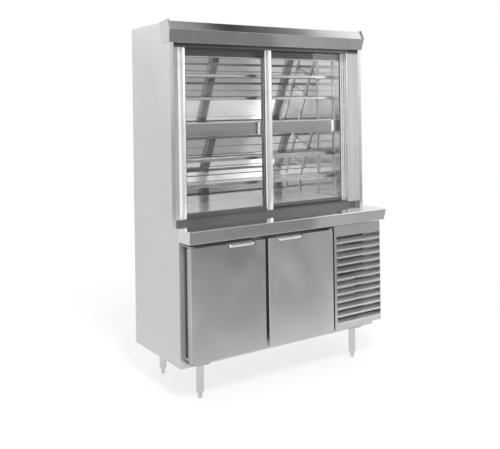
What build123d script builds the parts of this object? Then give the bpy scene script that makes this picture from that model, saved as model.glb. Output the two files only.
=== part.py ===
from build123d import *
import math
import os

os.makedirs("parts", exist_ok=True)

# Refrigerated display case, in millimetres. The origin is on the floor under the middle of the
# case, x runs to the right as the customer faces it, y to the back and z up.

# Whole cabinet
case_width = 1219.0
wall_depth = 495.0
ledge_reach = 119.4
leg_height = 170.0
base_height = 683.0
case_height = 967.6
wall_thick = 60.0
back_thick = 20.0
skin = 1.2
sheet = 2.0

half = case_width / 2
back_y = (wall_depth + ledge_reach) / 2
wall_y = back_y - wall_depth
inner_back_y = back_y - back_thick
inner_half = half - wall_thick
base_z = leg_height
seam_z = base_z + base_height
top_z = seam_z + case_height

# Lower cabinet
ledge_drop = 21.0
floor_thick = 50.0
frame_depth = 40.0
bottom_rail_height = 60.0
top_rail_height = 62.0
top_panel_thick = 50.0

ledge_z = seam_z - ledge_drop
plinth_z = ledge_z - sheet
floor_z = base_z + floor_thick
top_panel_z = plinth_z - top_panel_thick
rail_low_z = base_z + bottom_rail_height
rail_high_z = top_panel_z - top_rail_height
frame_back_y = wall_y + frame_depth

# Service ledge: its nose leans in towards the bottom and its ends flare
nose_height = 62.0
nose_lean = 13.8
ledge_flare_low = 1.1
ledge_flare_high = 5.3
nose_y = wall_y - ledge_reach
nose_low_z = ledge_z - nose_height

# Cupboard doors, which lie over the front frame beside the grille
door_low = 34.0
door_head_gap = 26.0
door_side_margin = 24.0
door_difference = 6.0
door_gap = 18.0
grille_gap = 8.0
grille_width = 330.0
grille_overhang = 3.0
shell_depth = 34.0
liner_depth = 21.0
liner_inset = 10.0
gasket_depth = 13.7
gasket_gap = 0.3
gasket_inset = 12.0
gasket_width = 14.0
door_edge_round = 2.5

door_low_z = base_z + door_low
door_high_z = nose_low_z - door_head_gap
gasket_back_y = wall_y - gasket_gap
gasket_front_y = gasket_back_y - gasket_depth
shell_back_y = gasket_front_y - liner_depth
door_front_y = shell_back_y - shell_depth
grille_x = (half + grille_overhang - grille_width, half + grille_overhang)
left_door_x = -half + door_side_margin
right_door_end = grille_x[0] - grille_gap
left_door_width = (right_door_end - left_door_x - door_gap + door_difference) / 2
left_door = (left_door_x, left_door_x + left_door_width)
right_door = (left_door[1] + door_gap, right_door_end)
seal_reach = gasket_inset + gasket_width

# Door pulls: polished cups let into the top edge of each door
pull_width = 157.0
pull_depth = 30.0
pull_proud = 8.0
pull_height = 16.0
pull_wall = 2.5
pull_corner = 9.0
pull_below_top = 5.0
left_pull_offset = 286.5
right_pull_offset = 137.0

# Pivot hinges
hinge_inset = 10.0
hinge_back = 12.0
pin_radius = 4.0
pin_clearance = 0.05
pin_length = 16.0
pin_end_gap = 2.0
collar_radius = 7.0
collar_gap = 0.3
bracket_gap = 3.0
bracket_thick = 5.0
bracket_width = 18.0
bracket_tab = 16.0

# Grille over the machine space
grille_low = 35.0
grille_head_gap = 10.0
grille_stile = 16.0
grille_return = 34.0
grille_top_band = 58.5
grille_bottom_band = 27.3
blade_count = 12
blade_lip = 9.0
blade_rise = 15.0
blade_run = 28.0
blade_sheet = 1.5
notch_height = 7.0
notch_width = 67.0

grille_low_z = base_z + grille_low
grille_high_z = nose_low_z - grille_head_gap

# Partition between the cupboard and the machine space
divider_thick = 40.0
divider_setback = 2.0
divider_end = grille_x[0] - divider_setback
divider_x = (divider_end - divider_thick, divider_end)

# Legs and their screw feet
leg_radius = 19.05
leg_wall = 1.5
leg_side_inset = 122.0
leg_front_inset = 33.0
leg_back_inset = 68.0
leg_flange_width = 76.0
leg_flange_thick = 4.0
boss_thick = 4.0
leg_tip_radius = 13.0
leg_taper = 14.0
foot_radius = 11.5
foot_height = 21.7
foot_gap = 0.3
stem_radius = 8.0
stem_length = 40.0
stem_clearance = 0.05
foot_chamfer = 2.0
foot_sides = 6

# Display case: stepped jambs, two door planes and the tracks
roof_thick = 50.6
jamb_setback = 62.7
jamb_width = 20.0
jamb_return = 48.3
channel_width = 47.0
recess_inset = 44.0
slider_thick = 20.0
slider_gap = 4.0
track_rear_lip = 5.0
track_front_lip = 6.0
track_height = 17.0
head_height = 53.0

jamb_y = wall_y + jamb_setback
front_slider_y = jamb_y + jamb_return
rear_slider_y = front_slider_y + slider_thick + slider_gap
track_front_y = front_slider_y - track_front_lip
track_back_y = rear_slider_y + slider_thick + track_rear_lip
channel_back_y = front_slider_y + slider_thick
roof_low_z = top_z - roof_thick
track_top_z = roof_low_z - head_height
track_low_z = track_top_z - track_height

# Sliding doors
stile_width = 42.0
meeting_stile = 45.0
slider_rail = 23.0
glass_thick = 4.0
glass_bite = 8.0
slider_clearance = 0.3
slider_head_room = 6.0
slider_top_rail = 8.0
slider_edge_gap = 0.5
rear_edge_gap = 3.0
pull_groove = 6.0
track_web = 4.0
runner_width = 3.0
runner_height = 6.0
groove_width = 5.0
groove_depth = 8.0

# Hood
hood_top_y = 67.8
hood_edge_y = 46.1
hood_foot_y = 62.0
hood_edge_drop = 40.7
hood_drop = 103.9
hood_sheet = 1.5
hood_flange = 45.0
hood_return = 12.0
hood_back = 75.0
hood_end_thick = 5.0
hood_end_proud = 6.0
hood_end_depth = 85.0

hood_foot_z = top_z - hood_drop
hood_edge_z = top_z - hood_edge_drop
roof_high_z = top_z - hood_sheet

# Lamp behind a dark valance
valance_drop = 42.0
valance_sheet = 2.0
lamp_radius = 13.0
lamp_wall = 1.0
lamp_end_gap = 5.5
lamp_behind = 28.0
holder_size = 30.0
holder_thick = 14.0

valance_foot_z = track_low_z - valance_drop
lamp_length = 2 * (inner_half - lamp_end_gap - holder_thick)

# Back wall with its leaning faces, and the evaporator housing across the middle
deck_height = 19.0
housing_low = 402.0
housing_height = 67.0
lower_slope_foot = 107.0
lower_slope_reach = 66.0
upper_slope_drop = 92.0
upper_slope_reach = 77.0
slope_cap = 14.0
mirror_thick = 4.0
mirror_edge = 1.0
housing_sheet = 1.5
evaporator_end_gap = 60.0
evaporator_front_gap = 70.0
evaporator_rear_gap = 30.0
evaporator_head_gap = 12.0

deck_z = seam_z + deck_height
housing_z = seam_z + housing_low
housing_top_z = housing_z + housing_height
slope_foot_z = seam_z + lower_slope_foot
slope_top_z = roof_low_z - upper_slope_drop

# Shelves
shelf_heights = (143.0, 274.0, 594.0, 714.0)
shelf_front = 142.0
shelf_back_gap = 4.0
shelf_side_gap = 8.0
shelf_strip_height = 16.0
shelf_strip = 2.0
rod_radius = 3.0
wire_size = 4.2
wire_count = 30
middle_rail_gap = 0.3
standard_width = 14.0
standard_thick = 4.0
slot_height = 10.0
slot_width = 4.0
slot_pitch = 30.0
cupboard_slot_pitch = 60.0
standard_front = 36.0
standard_gap = 4.0
clip_reach = 12.0
clip_height = 9.0
clip_width = 10.0
cupboard_shelf_heights = (180.0, 345.0)
cupboard_shelf_depth = 380.0
cupboard_shelf_setback = 20.0
cupboard_wire_count = 16

# Machine space
coil_height = 240.0
coil_depth = 44.0
coil_setback = 12.0
coil_side_gap = 20.0
coil_foot = 18.0
tube_radius = 4.8
bend_count = 5
evaporator_bends = 2
shroud_depth = 50.0
fan_radius = 92.0
fan_opening = 98.0
fan_hub_radius = 18.0
fan_hub_length = 22.0
fan_bore_depth = 16.5
fan_blade_count = 5
fan_blade_sheet = 2.0
fan_blade_pitch = 22.0
fan_root_share = 0.8
fan_tip_gap = 6.0
root_chord = 28.0
tip_chord = 52.0
shaft_radius = 4.0
shaft_clearance = 0.05
motor_radius = 34.0
motor_length = 52.0
motor_gap = 8.0
shaft_end_gap = 1.0
pedestal_sheet = 4.0
pedestal_foot = 30.0
compressor_radius = 78.0
compressor_height = 190.0
compressor_foot = 24.0
compressor_setback = 24.0
dome_slope = 34.0
dome_crown = 12.0
can_sides = 24
shell_wall = 12.0
foot_plate = 4.0
foot_plate_depth = 125.0
grommet_radius = 11.0
grommet_inset = 14.0
terminal_box = 34.0
terminal_width = 56.0
terminal_height = 65.0
terminal_rise = 55.0
pipe_radius = 4.0
pipe_rise = 60.0
pipe_jog = 50.0
pipe_bend = 14.0
port_offset = 20.0
discharge_inset = 30.0
drier_radius = 14.0
drier_clip = 6.0
drier_setback = 40.0
drier_length = 90.0
drier_slope = 9.0
drier_sides = 12
tray_sheet = 2.0
tray_flange = 25.0
rear_slot_count = 9
rear_slot_pitch = 30.0
rear_slot_height = 8.0
rear_slot_low = 100.0

# Controls behind the grille
control_width = 120.0
control_height = 70.0
control_depth = 60.0
control_setback = 5.0
control_drop = 60.0
knob_inset = 36.0
rocker_inset = 31.0
knob_radius = 19.0
knob_length = 16.0
knob_gap = 0.4
knob_sides = 12
spindle_length = 11.0
rocker_width = 14.0
rocker_height = 24.0
rocker_depth = 14.0
rocker_clearance = 0.6
rocker_swing_gap = 1.2
rocker_front = 8.0
rocker_back = 3.0
rocker_dip = 2.2
rocker_tilt = 10.0
pivot_depth = 5.6
pivot_radius = 1.5
pivot_socket = 2.0


def save(piece, name):
    piece.part.label = name
    export_step(piece.part, f"parts/{name}.step")


def block(x, y, z, mode=Mode.ADD):
    with BuildSketch(Plane.XY.offset(z[0])) as outline:
        with Locations(((x[0] + x[1]) / 2, (y[0] + y[1]) / 2)):
            Rectangle(x[1] - x[0], y[1] - y[0])
    extrude(outline.sketch, amount=z[1] - z[0], mode=mode)


def shrink(span, wall):
    return (span[0] + wall, span[1] - wall)


def hollow_block(x, y, z, wall=skin):
    block(x, y, z)
    block(shrink(x, wall), shrink(y, wall), shrink(z, wall), Mode.SUBTRACT)


def prism(points, x, mode=Mode.ADD):
    with BuildSketch(Plane.YZ.offset(x[0])) as outline:
        with BuildLine():
            Polyline(*points, close=True)
        make_face()
    extrude(outline.sketch, amount=x[1] - x[0], mode=mode)


def hollow_prism(points, x, wall=skin):
    prism(points, x)
    with BuildSketch(Plane.YZ.offset(x[0] + wall)) as outline:
        with BuildLine():
            Polyline(*points, close=True)
        make_face()
        offset(amount=-wall, kind=Kind.INTERSECTION, mode=Mode.REPLACE)
    extrude(outline.sketch, amount=x[1] - x[0] - 2 * wall, mode=Mode.SUBTRACT)


def column(points, z, mode=Mode.ADD):
    with BuildSketch(Plane.XY.offset(z[0])) as outline:
        with BuildLine():
            Polyline(*points, close=True)
        make_face()
    extrude(outline.sketch, amount=z[1] - z[0], mode=mode)


def folded(points, x, thickness, side=Side.LEFT):
    with BuildSketch(Plane.YZ.offset(x[0])) as outline:
        with BuildLine() as line:
            Polyline(*points)
            offset(amount=thickness, side=side, kind=Kind.INTERSECTION)
        make_face(line.edges())
    extrude(outline.sketch, amount=x[1] - x[0])


def rod(start, end, radius, mode=Mode.ADD):
    plane = Plane(origin=start, z_dir=Vector(*end) - Vector(*start))
    with BuildSketch(plane) as outline:
        Circle(radius)
    extrude(outline.sketch, amount=(Vector(*end) - Vector(*start)).length, mode=mode)


def lathe(profile, x, y):
    with BuildSketch(Plane(origin=(x, y, 0), x_dir=(1, 0, 0), z_dir=(0, -1, 0))) as section:
        with BuildLine():
            Polyline(*profile, close=True)
        make_face()
    revolve(section.sketch, axis=Axis((x, y, 0), (0, 0, 1)))


def hexagon_rod(start, end, radius):
    with BuildSketch(Plane(origin=start, z_dir=Vector(*end) - Vector(*start))) as outline:
        RegularPolygon(radius, 6)
    extrude(outline.sketch, amount=(Vector(*end) - Vector(*start)).length)


def faceted(sections, x, y, sides):
    outlines = []
    for height, radius in sections:
        with BuildSketch(Plane.XY.offset(height)) as outline:
            with Locations((x, y)):
                RegularPolygon(radius, sides)
        outlines.append(outline.sketch.face())
    loft(outlines, ruled=True)


def upright_plan(side):
    insets = [
        (0.0, jamb_y),
        (jamb_width, jamb_y),
        (jamb_width, channel_back_y),
        (recess_inset, channel_back_y),
        (recess_inset, track_back_y),
        (wall_thick, track_back_y),
        (wall_thick, back_y),
        (0.0, back_y),
    ]
    return [(side * (half - inset), y) for inset, y in insets]


def shrunk_column(points, z, wall=skin):
    column(points, z)
    with BuildSketch(Plane.XY.offset(z[0] + wall)) as outline:
        with BuildLine():
            Polyline(*points, close=True)
        make_face()
        offset(amount=-wall, kind=Kind.INTERSECTION, mode=Mode.REPLACE)
    extrude(outline.sketch, amount=z[1] - z[0] - 2 * wall, mode=Mode.SUBTRACT)


# Lower side walls: insulated panels with an upstand that carries the display case
def make_base_side(side, name):
    with BuildPart() as wall:
        outer = sorted((side * half, side * inner_half))
        block(outer, (wall_y, back_y), (base_z, plinth_z))
        column(upright_plan(side), (plinth_z, seam_z))
        inner = (outer[0] + skin, outer[1] - skin)
        block(inner, (wall_y + skin, back_y - skin), (base_z + skin, plinth_z - skin), Mode.SUBTRACT)
    save(wall, name)


make_base_side(-1, "base_side_left")
make_base_side(1, "base_side_right")

with BuildPart() as base_back:
    hollow_block((-inner_half, divider_x[1]), (inner_back_y, back_y), (base_z, top_panel_z))
save(base_back, "base_back")

with BuildPart() as base_floor:
    hollow_block((-inner_half, divider_x[0]), (frame_back_y, inner_back_y), (base_z, floor_z))
save(base_floor, "base_floor")

with BuildPart() as base_top_panel:
    hollow_block((-inner_half, inner_half), (wall_y, back_y), (top_panel_z, plinth_z))
    block((-inner_half, inner_half), (track_back_y, back_y), (plinth_z, ledge_z))
save(base_top_panel, "base_top_panel")

with BuildPart() as compartment_divider:
    hollow_block(divider_x, (frame_back_y, inner_back_y), (base_z, top_panel_z))
save(compartment_divider, "compartment_divider")

# Front frame of the lower cabinet: two rails and two posts that the doors close on
with BuildPart() as door_frame_rails:
    hollow_block((-inner_half, inner_half), (wall_y, frame_back_y), (base_z, rail_low_z))
    hollow_block((-inner_half, inner_half), (wall_y, frame_back_y), (rail_high_z, top_panel_z))
save(door_frame_rails, "door_frame_rails")

with BuildPart() as door_frame_posts:
    middle_post = (left_door[1] - seal_reach, right_door[0] + seal_reach)
    hollow_block(middle_post, (wall_y, frame_back_y), (rail_low_z, rail_high_z))
    right_post = (right_door[1] - seal_reach, grille_x[0])
    hollow_block(right_post, (wall_y, frame_back_y), (rail_low_z, rail_high_z))
save(door_frame_posts, "door_frame_posts")


# Service ledge: a top sheet with a boxed, leaning nose, cut off at a flare at both ends
def ledge_end_plane(side):
    low = (side * (half + ledge_flare_low), 0, nose_low_z)
    rise = Vector(side * (ledge_flare_high - ledge_flare_low), 0, nose_height)
    return Plane(origin=low, x_dir=(0, 1, 0), z_dir=rise.cross(Vector(0, 1, 0)))


with BuildPart() as service_ledge:
    reach = half + ledge_flare_high
    nose = [
        (nose_y, ledge_z),
        (nose_y + nose_lean, nose_low_z),
        (wall_y, nose_low_z),
        (wall_y, plinth_z),
        (jamb_y, plinth_z),
        (jamb_y, ledge_z),
    ]
    prism(nose, (-reach, reach))
    for side in (-1, 1):
        keep = Keep.TOP if side == 1 else Keep.BOTTOM
        split(bisect_by=ledge_end_plane(side), keep=keep)
    nose_slope = nose_lean / nose_height
    hollow = [
        (nose_y + sheet + nose_slope * sheet, plinth_z),
        (nose_y + nose_lean + sheet, nose_low_z + sheet),
        (wall_y, nose_low_z + sheet),
        (wall_y, plinth_z),
    ]
    prism(hollow, (-half, half), Mode.SUBTRACT)
    tongue = half - jamb_width
    block((-tongue, tongue), (jamb_y, track_front_y), (plinth_z, ledge_z))
save(service_ledge, "service_ledge")


# Cupboard doors: folded outer pan, insulated inner panel, gasket and pull cup
def make_door(side_name, span, pull_centre, hinge_x, hinge_y):
    pull_high_z = door_high_z - pull_below_top
    pull_low_z = pull_high_z - pull_height
    pull_front_y = door_front_y - pull_proud
    pull_y = pull_front_y + pull_depth / 2
    notch_x = (pull_centre - pull_width / 2, pull_centre + pull_width / 2)
    notch_y = (door_front_y - pull_proud, pull_front_y + pull_depth)
    hole_radius = pin_radius + pin_clearance
    pin_low = (hinge_x, hinge_y, door_low_z)
    pin_high = (hinge_x, hinge_y, door_high_z)

    with BuildPart() as shell:
        block(span, (door_front_y, shell_back_y), (door_low_z, door_high_z))
        front = shell.faces().sort_by(Axis.Y)[0]
        fillet(front.edges(), radius=door_edge_round)
        inner_x = (span[0] + skin, span[1] - skin)
        inner_z = (door_low_z + skin, door_high_z - skin)
        block(inner_x, (door_front_y + skin, shell_back_y), inner_z, Mode.SUBTRACT)
        block(notch_x, notch_y, (pull_low_z, door_high_z), Mode.SUBTRACT)
        rod(pin_low, pin_high, hole_radius, Mode.SUBTRACT)
    save(shell, f"door_{side_name}_shell")

    with BuildPart() as liner:
        core_y = door_front_y + skin + door_edge_round
        block(inner_x, (core_y, shell_back_y), inner_z)
        raised_x = (span[0] + liner_inset, span[1] - liner_inset)
        raised_z = (door_low_z + liner_inset, door_high_z - liner_inset)
        block(raised_x, (shell_back_y, gasket_front_y), raised_z)
        void_x = (inner_x[0] + skin, inner_x[1] - skin)
        void_z = (inner_z[0] + skin, pull_low_z - skin)
        block(void_x, (core_y + skin, shell_back_y - skin), void_z, Mode.SUBTRACT)
        rear_void_x = (raised_x[0] + skin, raised_x[1] - skin)
        rear_void_z = (raised_z[0] + skin, raised_z[1] - skin)
        rear_y = (shell_back_y, gasket_front_y - skin)
        block(rear_void_x, rear_y, rear_void_z, Mode.SUBTRACT)
        block(notch_x, notch_y, (pull_low_z, door_high_z), Mode.SUBTRACT)
        rod(pin_low, (hinge_x, hinge_y, door_low_z + pin_length), hole_radius, Mode.SUBTRACT)
        rod((hinge_x, hinge_y, door_high_z - pin_length), pin_high, hole_radius, Mode.SUBTRACT)
    save(liner, f"door_{side_name}_liner")

    with BuildPart() as gasket:
        outer_x = (span[0] + gasket_inset, span[1] - gasket_inset)
        outer_z = (door_low_z + gasket_inset, door_high_z - gasket_inset)
        block(outer_x, (gasket_front_y, gasket_back_y), outer_z)
        hole_x = (span[0] + seal_reach, span[1] - seal_reach)
        hole_z = (door_low_z + seal_reach, door_high_z - seal_reach)
        block(hole_x, (gasket_front_y, gasket_back_y), hole_z, Mode.SUBTRACT)
    save(gasket, f"door_{side_name}_gasket")

    cup = (pull_width - 2 * pull_wall, pull_depth - 2 * pull_wall)
    with BuildPart() as pull:
        with BuildSketch(Plane.XY.offset(pull_low_z)) as outside:
            with Locations((pull_centre, pull_y)):
                Rectangle(pull_width, pull_depth)
            chamfer(outside.vertices(), length=pull_corner)
        extrude(amount=pull_height)
        with BuildSketch(Plane.XY.offset(pull_low_z + pull_wall)) as inside:
            with Locations((pull_centre, pull_y)):
                Rectangle(*cup)
            chamfer(inside.vertices(), length=pull_corner - pull_wall / 2)
        extrude(inside.sketch, amount=pull_height, mode=Mode.SUBTRACT)
        bottom = pull.faces().sort_by(Axis.Z)[0]
        chamfer(bottom.edges(), length=pull_wall / 2)
    save(pull, f"door_{side_name}_pull")


hinge_y = door_front_y + hinge_back
left_hinge_x = left_door[0] + hinge_inset
right_hinge_x = right_door[1] - hinge_inset
make_door("left", left_door, left_door[0] + left_pull_offset, left_hinge_x, hinge_y)
make_door("right", right_door, right_door[0] + right_pull_offset, right_hinge_x, hinge_y)

# Hinge brackets: a plate with a collared pin and a tab on the cabinet's front
with BuildPart() as hinge_brackets:
    for hinge_x in (left_hinge_x, right_hinge_x):
        for z_door, up in ((door_high_z, 1), (door_low_z, -1)):
            near = z_door + up * bracket_gap
            far = near + up * bracket_thick
            end = far + up * bracket_tab
            x = (hinge_x - bracket_width / 2, hinge_x + bracket_width / 2)
            block(x, (hinge_y - bracket_width / 2, wall_y), sorted((near, far)))
            block(x, (wall_y - sheet, wall_y), sorted((far, end)))
            collar_end = z_door + up * collar_gap
            hexagon_rod((hinge_x, hinge_y, near), (hinge_x, hinge_y, collar_end), collar_radius)
            pin_end = z_door - up * (pin_length - pin_end_gap)
            rod((hinge_x, hinge_y, near), (hinge_x, hinge_y, pin_end), pin_radius)
save(hinge_brackets, "hinge_brackets")

# Slatted grille: a folded cover with a stepped foot, and inclined blades with a front lip
blade_top_z = grille_high_z - grille_top_band
slats_low_z = grille_low_z + grille_bottom_band
blade_pitch = (blade_top_z - slats_low_z) / blade_count
blade_back_y = door_front_y + blade_run


def grille_outline(gap):
    step_x = grille_x[1] - notch_width
    return [
        (grille_x[0] + gap, grille_low_z + gap),
        (step_x + gap, grille_low_z + gap),
        (step_x + gap, grille_low_z + notch_height + gap),
        (grille_x[1] - gap, grille_low_z + notch_height + gap),
        (grille_x[1] - gap, grille_high_z - gap),
        (grille_x[0] + gap, grille_high_z - gap),
    ]


with BuildPart() as grille_frame:
    with BuildSketch(Plane.XZ.offset(-wall_y)):
        with BuildLine():
            Polyline(*grille_outline(0), close=True)
        make_face()
        with BuildLine():
            Polyline(*grille_outline(sheet), close=True)
        make_face(mode=Mode.SUBTRACT)
    extrude(amount=wall_y - door_front_y)
    with BuildSketch(Plane.XZ.offset(-door_front_y - sheet)):
        with BuildLine():
            Polyline(*grille_outline(sheet), close=True)
        make_face()
        slats_x = (grille_x[0] + grille_stile, grille_x[1] - sheet)
        with Locations(((slats_x[0] + slats_x[1]) / 2, (slats_low_z + blade_top_z) / 2)):
            Rectangle(slats_x[1] - slats_x[0], blade_top_z - slats_low_z, mode=Mode.SUBTRACT)
    extrude(amount=sheet)
    block((slats_x[0] - sheet, slats_x[0]), (door_front_y + sheet, door_front_y + grille_return),
          (slats_low_z, blade_top_z))
save(grille_frame, "grille_frame")

with BuildPart() as grille_blades:
    for number in range(blade_count):
        lip_z = blade_top_z - (number + 1) * blade_pitch
        blade_line = [
            (door_front_y, lip_z),
            (door_front_y, lip_z + blade_lip),
            (blade_back_y, lip_z + blade_lip + blade_rise),
        ]
        folded(blade_line, slats_x, blade_sheet, Side.RIGHT)
save(grille_blades, "grille_blades")

# Tubular legs with a screwed flange, a tapered tip and a threaded boss for the foot
leg_places = {
    "front_left": (-half + leg_side_inset, wall_y + leg_front_inset),
    "front_right": (half - leg_side_inset, wall_y + leg_front_inset),
    "rear_left": (-half + leg_side_inset, back_y - leg_back_inset),
    "rear_right": (half - leg_side_inset, back_y - leg_back_inset),
}
leg_low_z = foot_height + foot_gap
stem_high_z = foot_height + stem_length
boss_high_z = stem_high_z + boss_thick

with BuildPart() as leg:
    plate_z = base_z - leg_flange_thick
    tube_profile = [
        (stem_radius + stem_clearance, leg_low_z),
        (leg_tip_radius, leg_low_z),
        (leg_radius, leg_low_z + leg_taper),
        (leg_radius, plate_z),
        (leg_radius - leg_wall, plate_z),
        (leg_radius - leg_wall, boss_high_z),
        (stem_radius + stem_clearance, boss_high_z),
    ]
    lathe(tube_profile, 0, 0)
    plate = (-leg_flange_width / 2, leg_flange_width / 2)
    block(plate, plate, (plate_z, base_z))

with BuildPart() as legs:
    with Locations(*[(x, y, 0) for x, y in leg_places.values()]):
        add(leg.part)
save(legs, "legs")


def make_foot(name, x, y):
    with BuildPart() as foot:
        with BuildSketch():
            with Locations((x, y)):
                RegularPolygon(foot_radius, foot_sides)
        extrude(amount=foot_height)
        chamfer(foot.edges().group_by(Axis.Z)[0], length=foot_chamfer)
        rod((x, y, foot_height), (x, y, stem_high_z), stem_radius)
    save(foot, name)


for place, (leg_x, leg_y) in leg_places.items():
    make_foot(f"foot_{place}", leg_x, leg_y)


# Display case walls, with the front corner left free for the hood
def make_case_side(side, name):
    with BuildPart() as wall:
        shrunk_column(upright_plan(side), (seam_z, roof_high_z))
        span = sorted((side * half, side * (half - jamb_width)))
        block(span, (jamb_y, wall_y + hood_back), (hood_foot_z, top_z), Mode.SUBTRACT)
    save(wall, name)


make_case_side(-1, "case_side_left")
make_case_side(1, "case_side_right")

lower_reach_y = inner_back_y - lower_slope_reach
upper_reach_y = inner_back_y - upper_slope_reach

with BuildPart() as case_back:
    back_profile = [
        (back_y, ledge_z),
        (back_y, roof_low_z),
        (inner_back_y, roof_low_z),
        (inner_back_y, slope_top_z + slope_cap),
        (upper_reach_y, slope_top_z + slope_cap),
        (upper_reach_y, slope_top_z),
        (inner_back_y, housing_top_z),
        (lower_reach_y, housing_top_z),
        (lower_reach_y, housing_z),
        (inner_back_y, slope_foot_z),
        (inner_back_y, ledge_z),
    ]
    hollow_prism(back_profile, (-inner_half, inner_half))
save(case_back, "case_back")

with BuildPart() as case_roof:
    hood_back_y = wall_y + hood_back
    roof_profile = [
        (hood_back_y, roof_low_z),
        (track_front_y, roof_low_z),
        (track_front_y, track_top_z),
        (track_back_y, track_top_z),
        (track_back_y, roof_low_z),
        (back_y, roof_low_z),
        (back_y, roof_high_z),
        (hood_back_y, roof_high_z),
    ]
    hollow_prism(roof_profile, (-inner_half, inner_half))
save(case_roof, "case_roof")

with BuildPart() as display_deck:
    hollow_block((-inner_half, inner_half), (track_back_y, inner_back_y), (ledge_z, deck_z))
save(display_deck, "display_deck")

# Side channels that the sliding doors close against
with BuildPart() as door_channels:
    for side in (-1, 1):
        channel_x = sorted((side * (half - jamb_width), side * (half - jamb_width - channel_width)))
        hollow_block(channel_x, (front_slider_y, channel_back_y), (seam_z, track_top_z - track_web))
save(door_channels, "door_channels")

# Tracks: two ribs below and an E section above, one bay for each door
front_bay = half - jamb_width
rear_bay = half - recess_inset
front_rib_y = front_slider_y + slider_thick / 2
rear_rib_y = rear_slider_y + slider_thick / 2

with BuildPart() as bottom_track:
    block((-front_bay, front_bay), (track_front_y, channel_back_y), (plinth_z, seam_z))
    block((-rear_bay, rear_bay), (channel_back_y, track_back_y), (plinth_z, seam_z))
    front_run = front_bay - channel_width
    for reach, rib_y in ((front_run, front_rib_y), (rear_bay, rear_rib_y)):
        rib = (rib_y - runner_width / 2, rib_y + runner_width / 2)
        block((-reach, reach), rib, (seam_z, seam_z + runner_height))
save(bottom_track, "bottom_track")

with BuildPart() as top_track:
    web_z = track_top_z - track_web
    lip = slider_gap / 2
    middle_lip_y = channel_back_y + lip / 2
    block((-front_bay, front_bay), (track_front_y, channel_back_y), (web_z, track_top_z))
    block((-rear_bay, rear_bay), (channel_back_y, track_back_y), (web_z, track_top_z))
    block((-front_bay, front_bay), (track_front_y, track_front_y + lip), (track_low_z, web_z))
    block((-rear_bay, rear_bay), (middle_lip_y, middle_lip_y + lip), (track_low_z, web_z))
    block((-rear_bay, rear_bay), (track_back_y - lip, track_back_y), (track_low_z, web_z))
save(top_track, "top_track")


# Sliding doors: extruded frame with a groove for the pane and one for the floor rib
def make_slider(side_name, span, stiles, low_y, grip_x):
    slider_y = (low_y, low_y + slider_thick)
    low_z = seam_z + slider_clearance
    high_z = track_top_z - track_web - slider_head_room
    view_x = (span[0] + stiles[0], span[1] - stiles[1])
    view_z = (low_z + slider_rail, high_z - slider_top_rail)
    centre_y = low_y + slider_thick / 2
    pane_x = (view_x[0] - glass_bite, view_x[1] + glass_bite)
    pane_y = (centre_y - glass_thick / 2, centre_y + glass_thick / 2)
    pane_z = (view_z[0] - glass_bite, view_z[1] + glass_bite / 2)

    with BuildPart() as slider:
        block(span, slider_y, (low_z, high_z))
        block(view_x, slider_y, view_z, Mode.SUBTRACT)
        block(pane_x, pane_y, pane_z, Mode.SUBTRACT)
        groove_y = (centre_y - groove_width / 2, centre_y + groove_width / 2)
        block(span, groove_y, (low_z, low_z + groove_depth), Mode.SUBTRACT)
        grip_y = (low_y, low_y + pull_groove)
        grip_z = (view_z[0], view_z[1])
        block((grip_x, grip_x + pull_groove), grip_y, grip_z, Mode.SUBTRACT)
    save(slider, f"slider_{side_name}_frame")

    with BuildPart() as pane:
        block(pane_x, pane_y, pane_z)
    save(pane, f"slider_{side_name}_glass")


left_slider = (-front_run + slider_edge_gap, meeting_stile / 2)
right_slider = (-meeting_stile / 2, rear_bay - rear_edge_gap)
grip_inset = pull_groove
make_slider("left", left_slider, (stile_width, meeting_stile), front_slider_y,
            left_slider[1] - meeting_stile + grip_inset)
make_slider("right", right_slider, (meeting_stile, stile_width), rear_slider_y,
            right_slider[1] - stile_width / 2)

# Hood: a folded fascia between two end caps that flare outwards
with BuildPart() as hood_fascia:
    hood_line = [
        (wall_y + hood_top_y + hood_flange, top_z),
        (wall_y + hood_top_y, top_z),
        (wall_y + hood_edge_y, hood_edge_z),
        (wall_y + hood_foot_y, hood_foot_z),
        (wall_y + hood_foot_y + hood_return, hood_foot_z),
    ]
    folded(hood_line, (-half, half), hood_sheet, Side.LEFT)
save(hood_fascia, "hood_fascia")

cap_front_y = wall_y + hood_foot_y - hood_end_proud / 2
cap_back_y = wall_y + hood_foot_y + hood_end_depth
cap_top_z = top_z + hood_end_proud
cap_outline = [
    (cap_front_y, hood_foot_z),
    (wall_y + hood_edge_y - hood_end_proud / 2, hood_edge_z),
    (wall_y + hood_top_y - hood_end_proud / 2, cap_top_z),
    (wall_y + hood_top_y + 2 * hood_end_proud, cap_top_z),
    (cap_back_y, roof_high_z),
    (cap_back_y, hood_foot_z),
]
hood_caps = []
for side in (-1, 1):
    with BuildPart() as hood_cap:
        prism(cap_outline, sorted((side * half, side * (half + hood_end_thick + hood_end_proud))))
        low = (side * (half + hood_end_thick), 0, hood_foot_z)
        lean = Vector(side * hood_end_proud, 0, hood_edge_z - hood_foot_z)
        outward = Plane(origin=low, x_dir=(0, 1, 0), z_dir=lean.cross(Vector(0, 1, 0)))
        split(bisect_by=outward, keep=Keep.TOP if side == 1 else Keep.BOTTOM)
    hood_caps.append(hood_cap.part)

with BuildPart() as hood_ends:
    add(hood_caps)
save(hood_ends, "hood_ends")

# Lamp: a tube between two holders on the back of the valance
valance_back_y = track_back_y + valance_sheet
lamp_y = valance_back_y + lamp_behind
lamp_z = valance_foot_z + lamp_behind - valance_sheet - lamp_radius / 2

with BuildPart() as lamp_valance:
    valance_line = [
        (track_back_y, roof_low_z),
        (track_back_y, valance_foot_z),
        (track_back_y + lamp_radius, valance_foot_z),
    ]
    folded(valance_line, (-inner_half, inner_half), valance_sheet, Side.LEFT)
save(lamp_valance, "lamp_valance")

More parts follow.
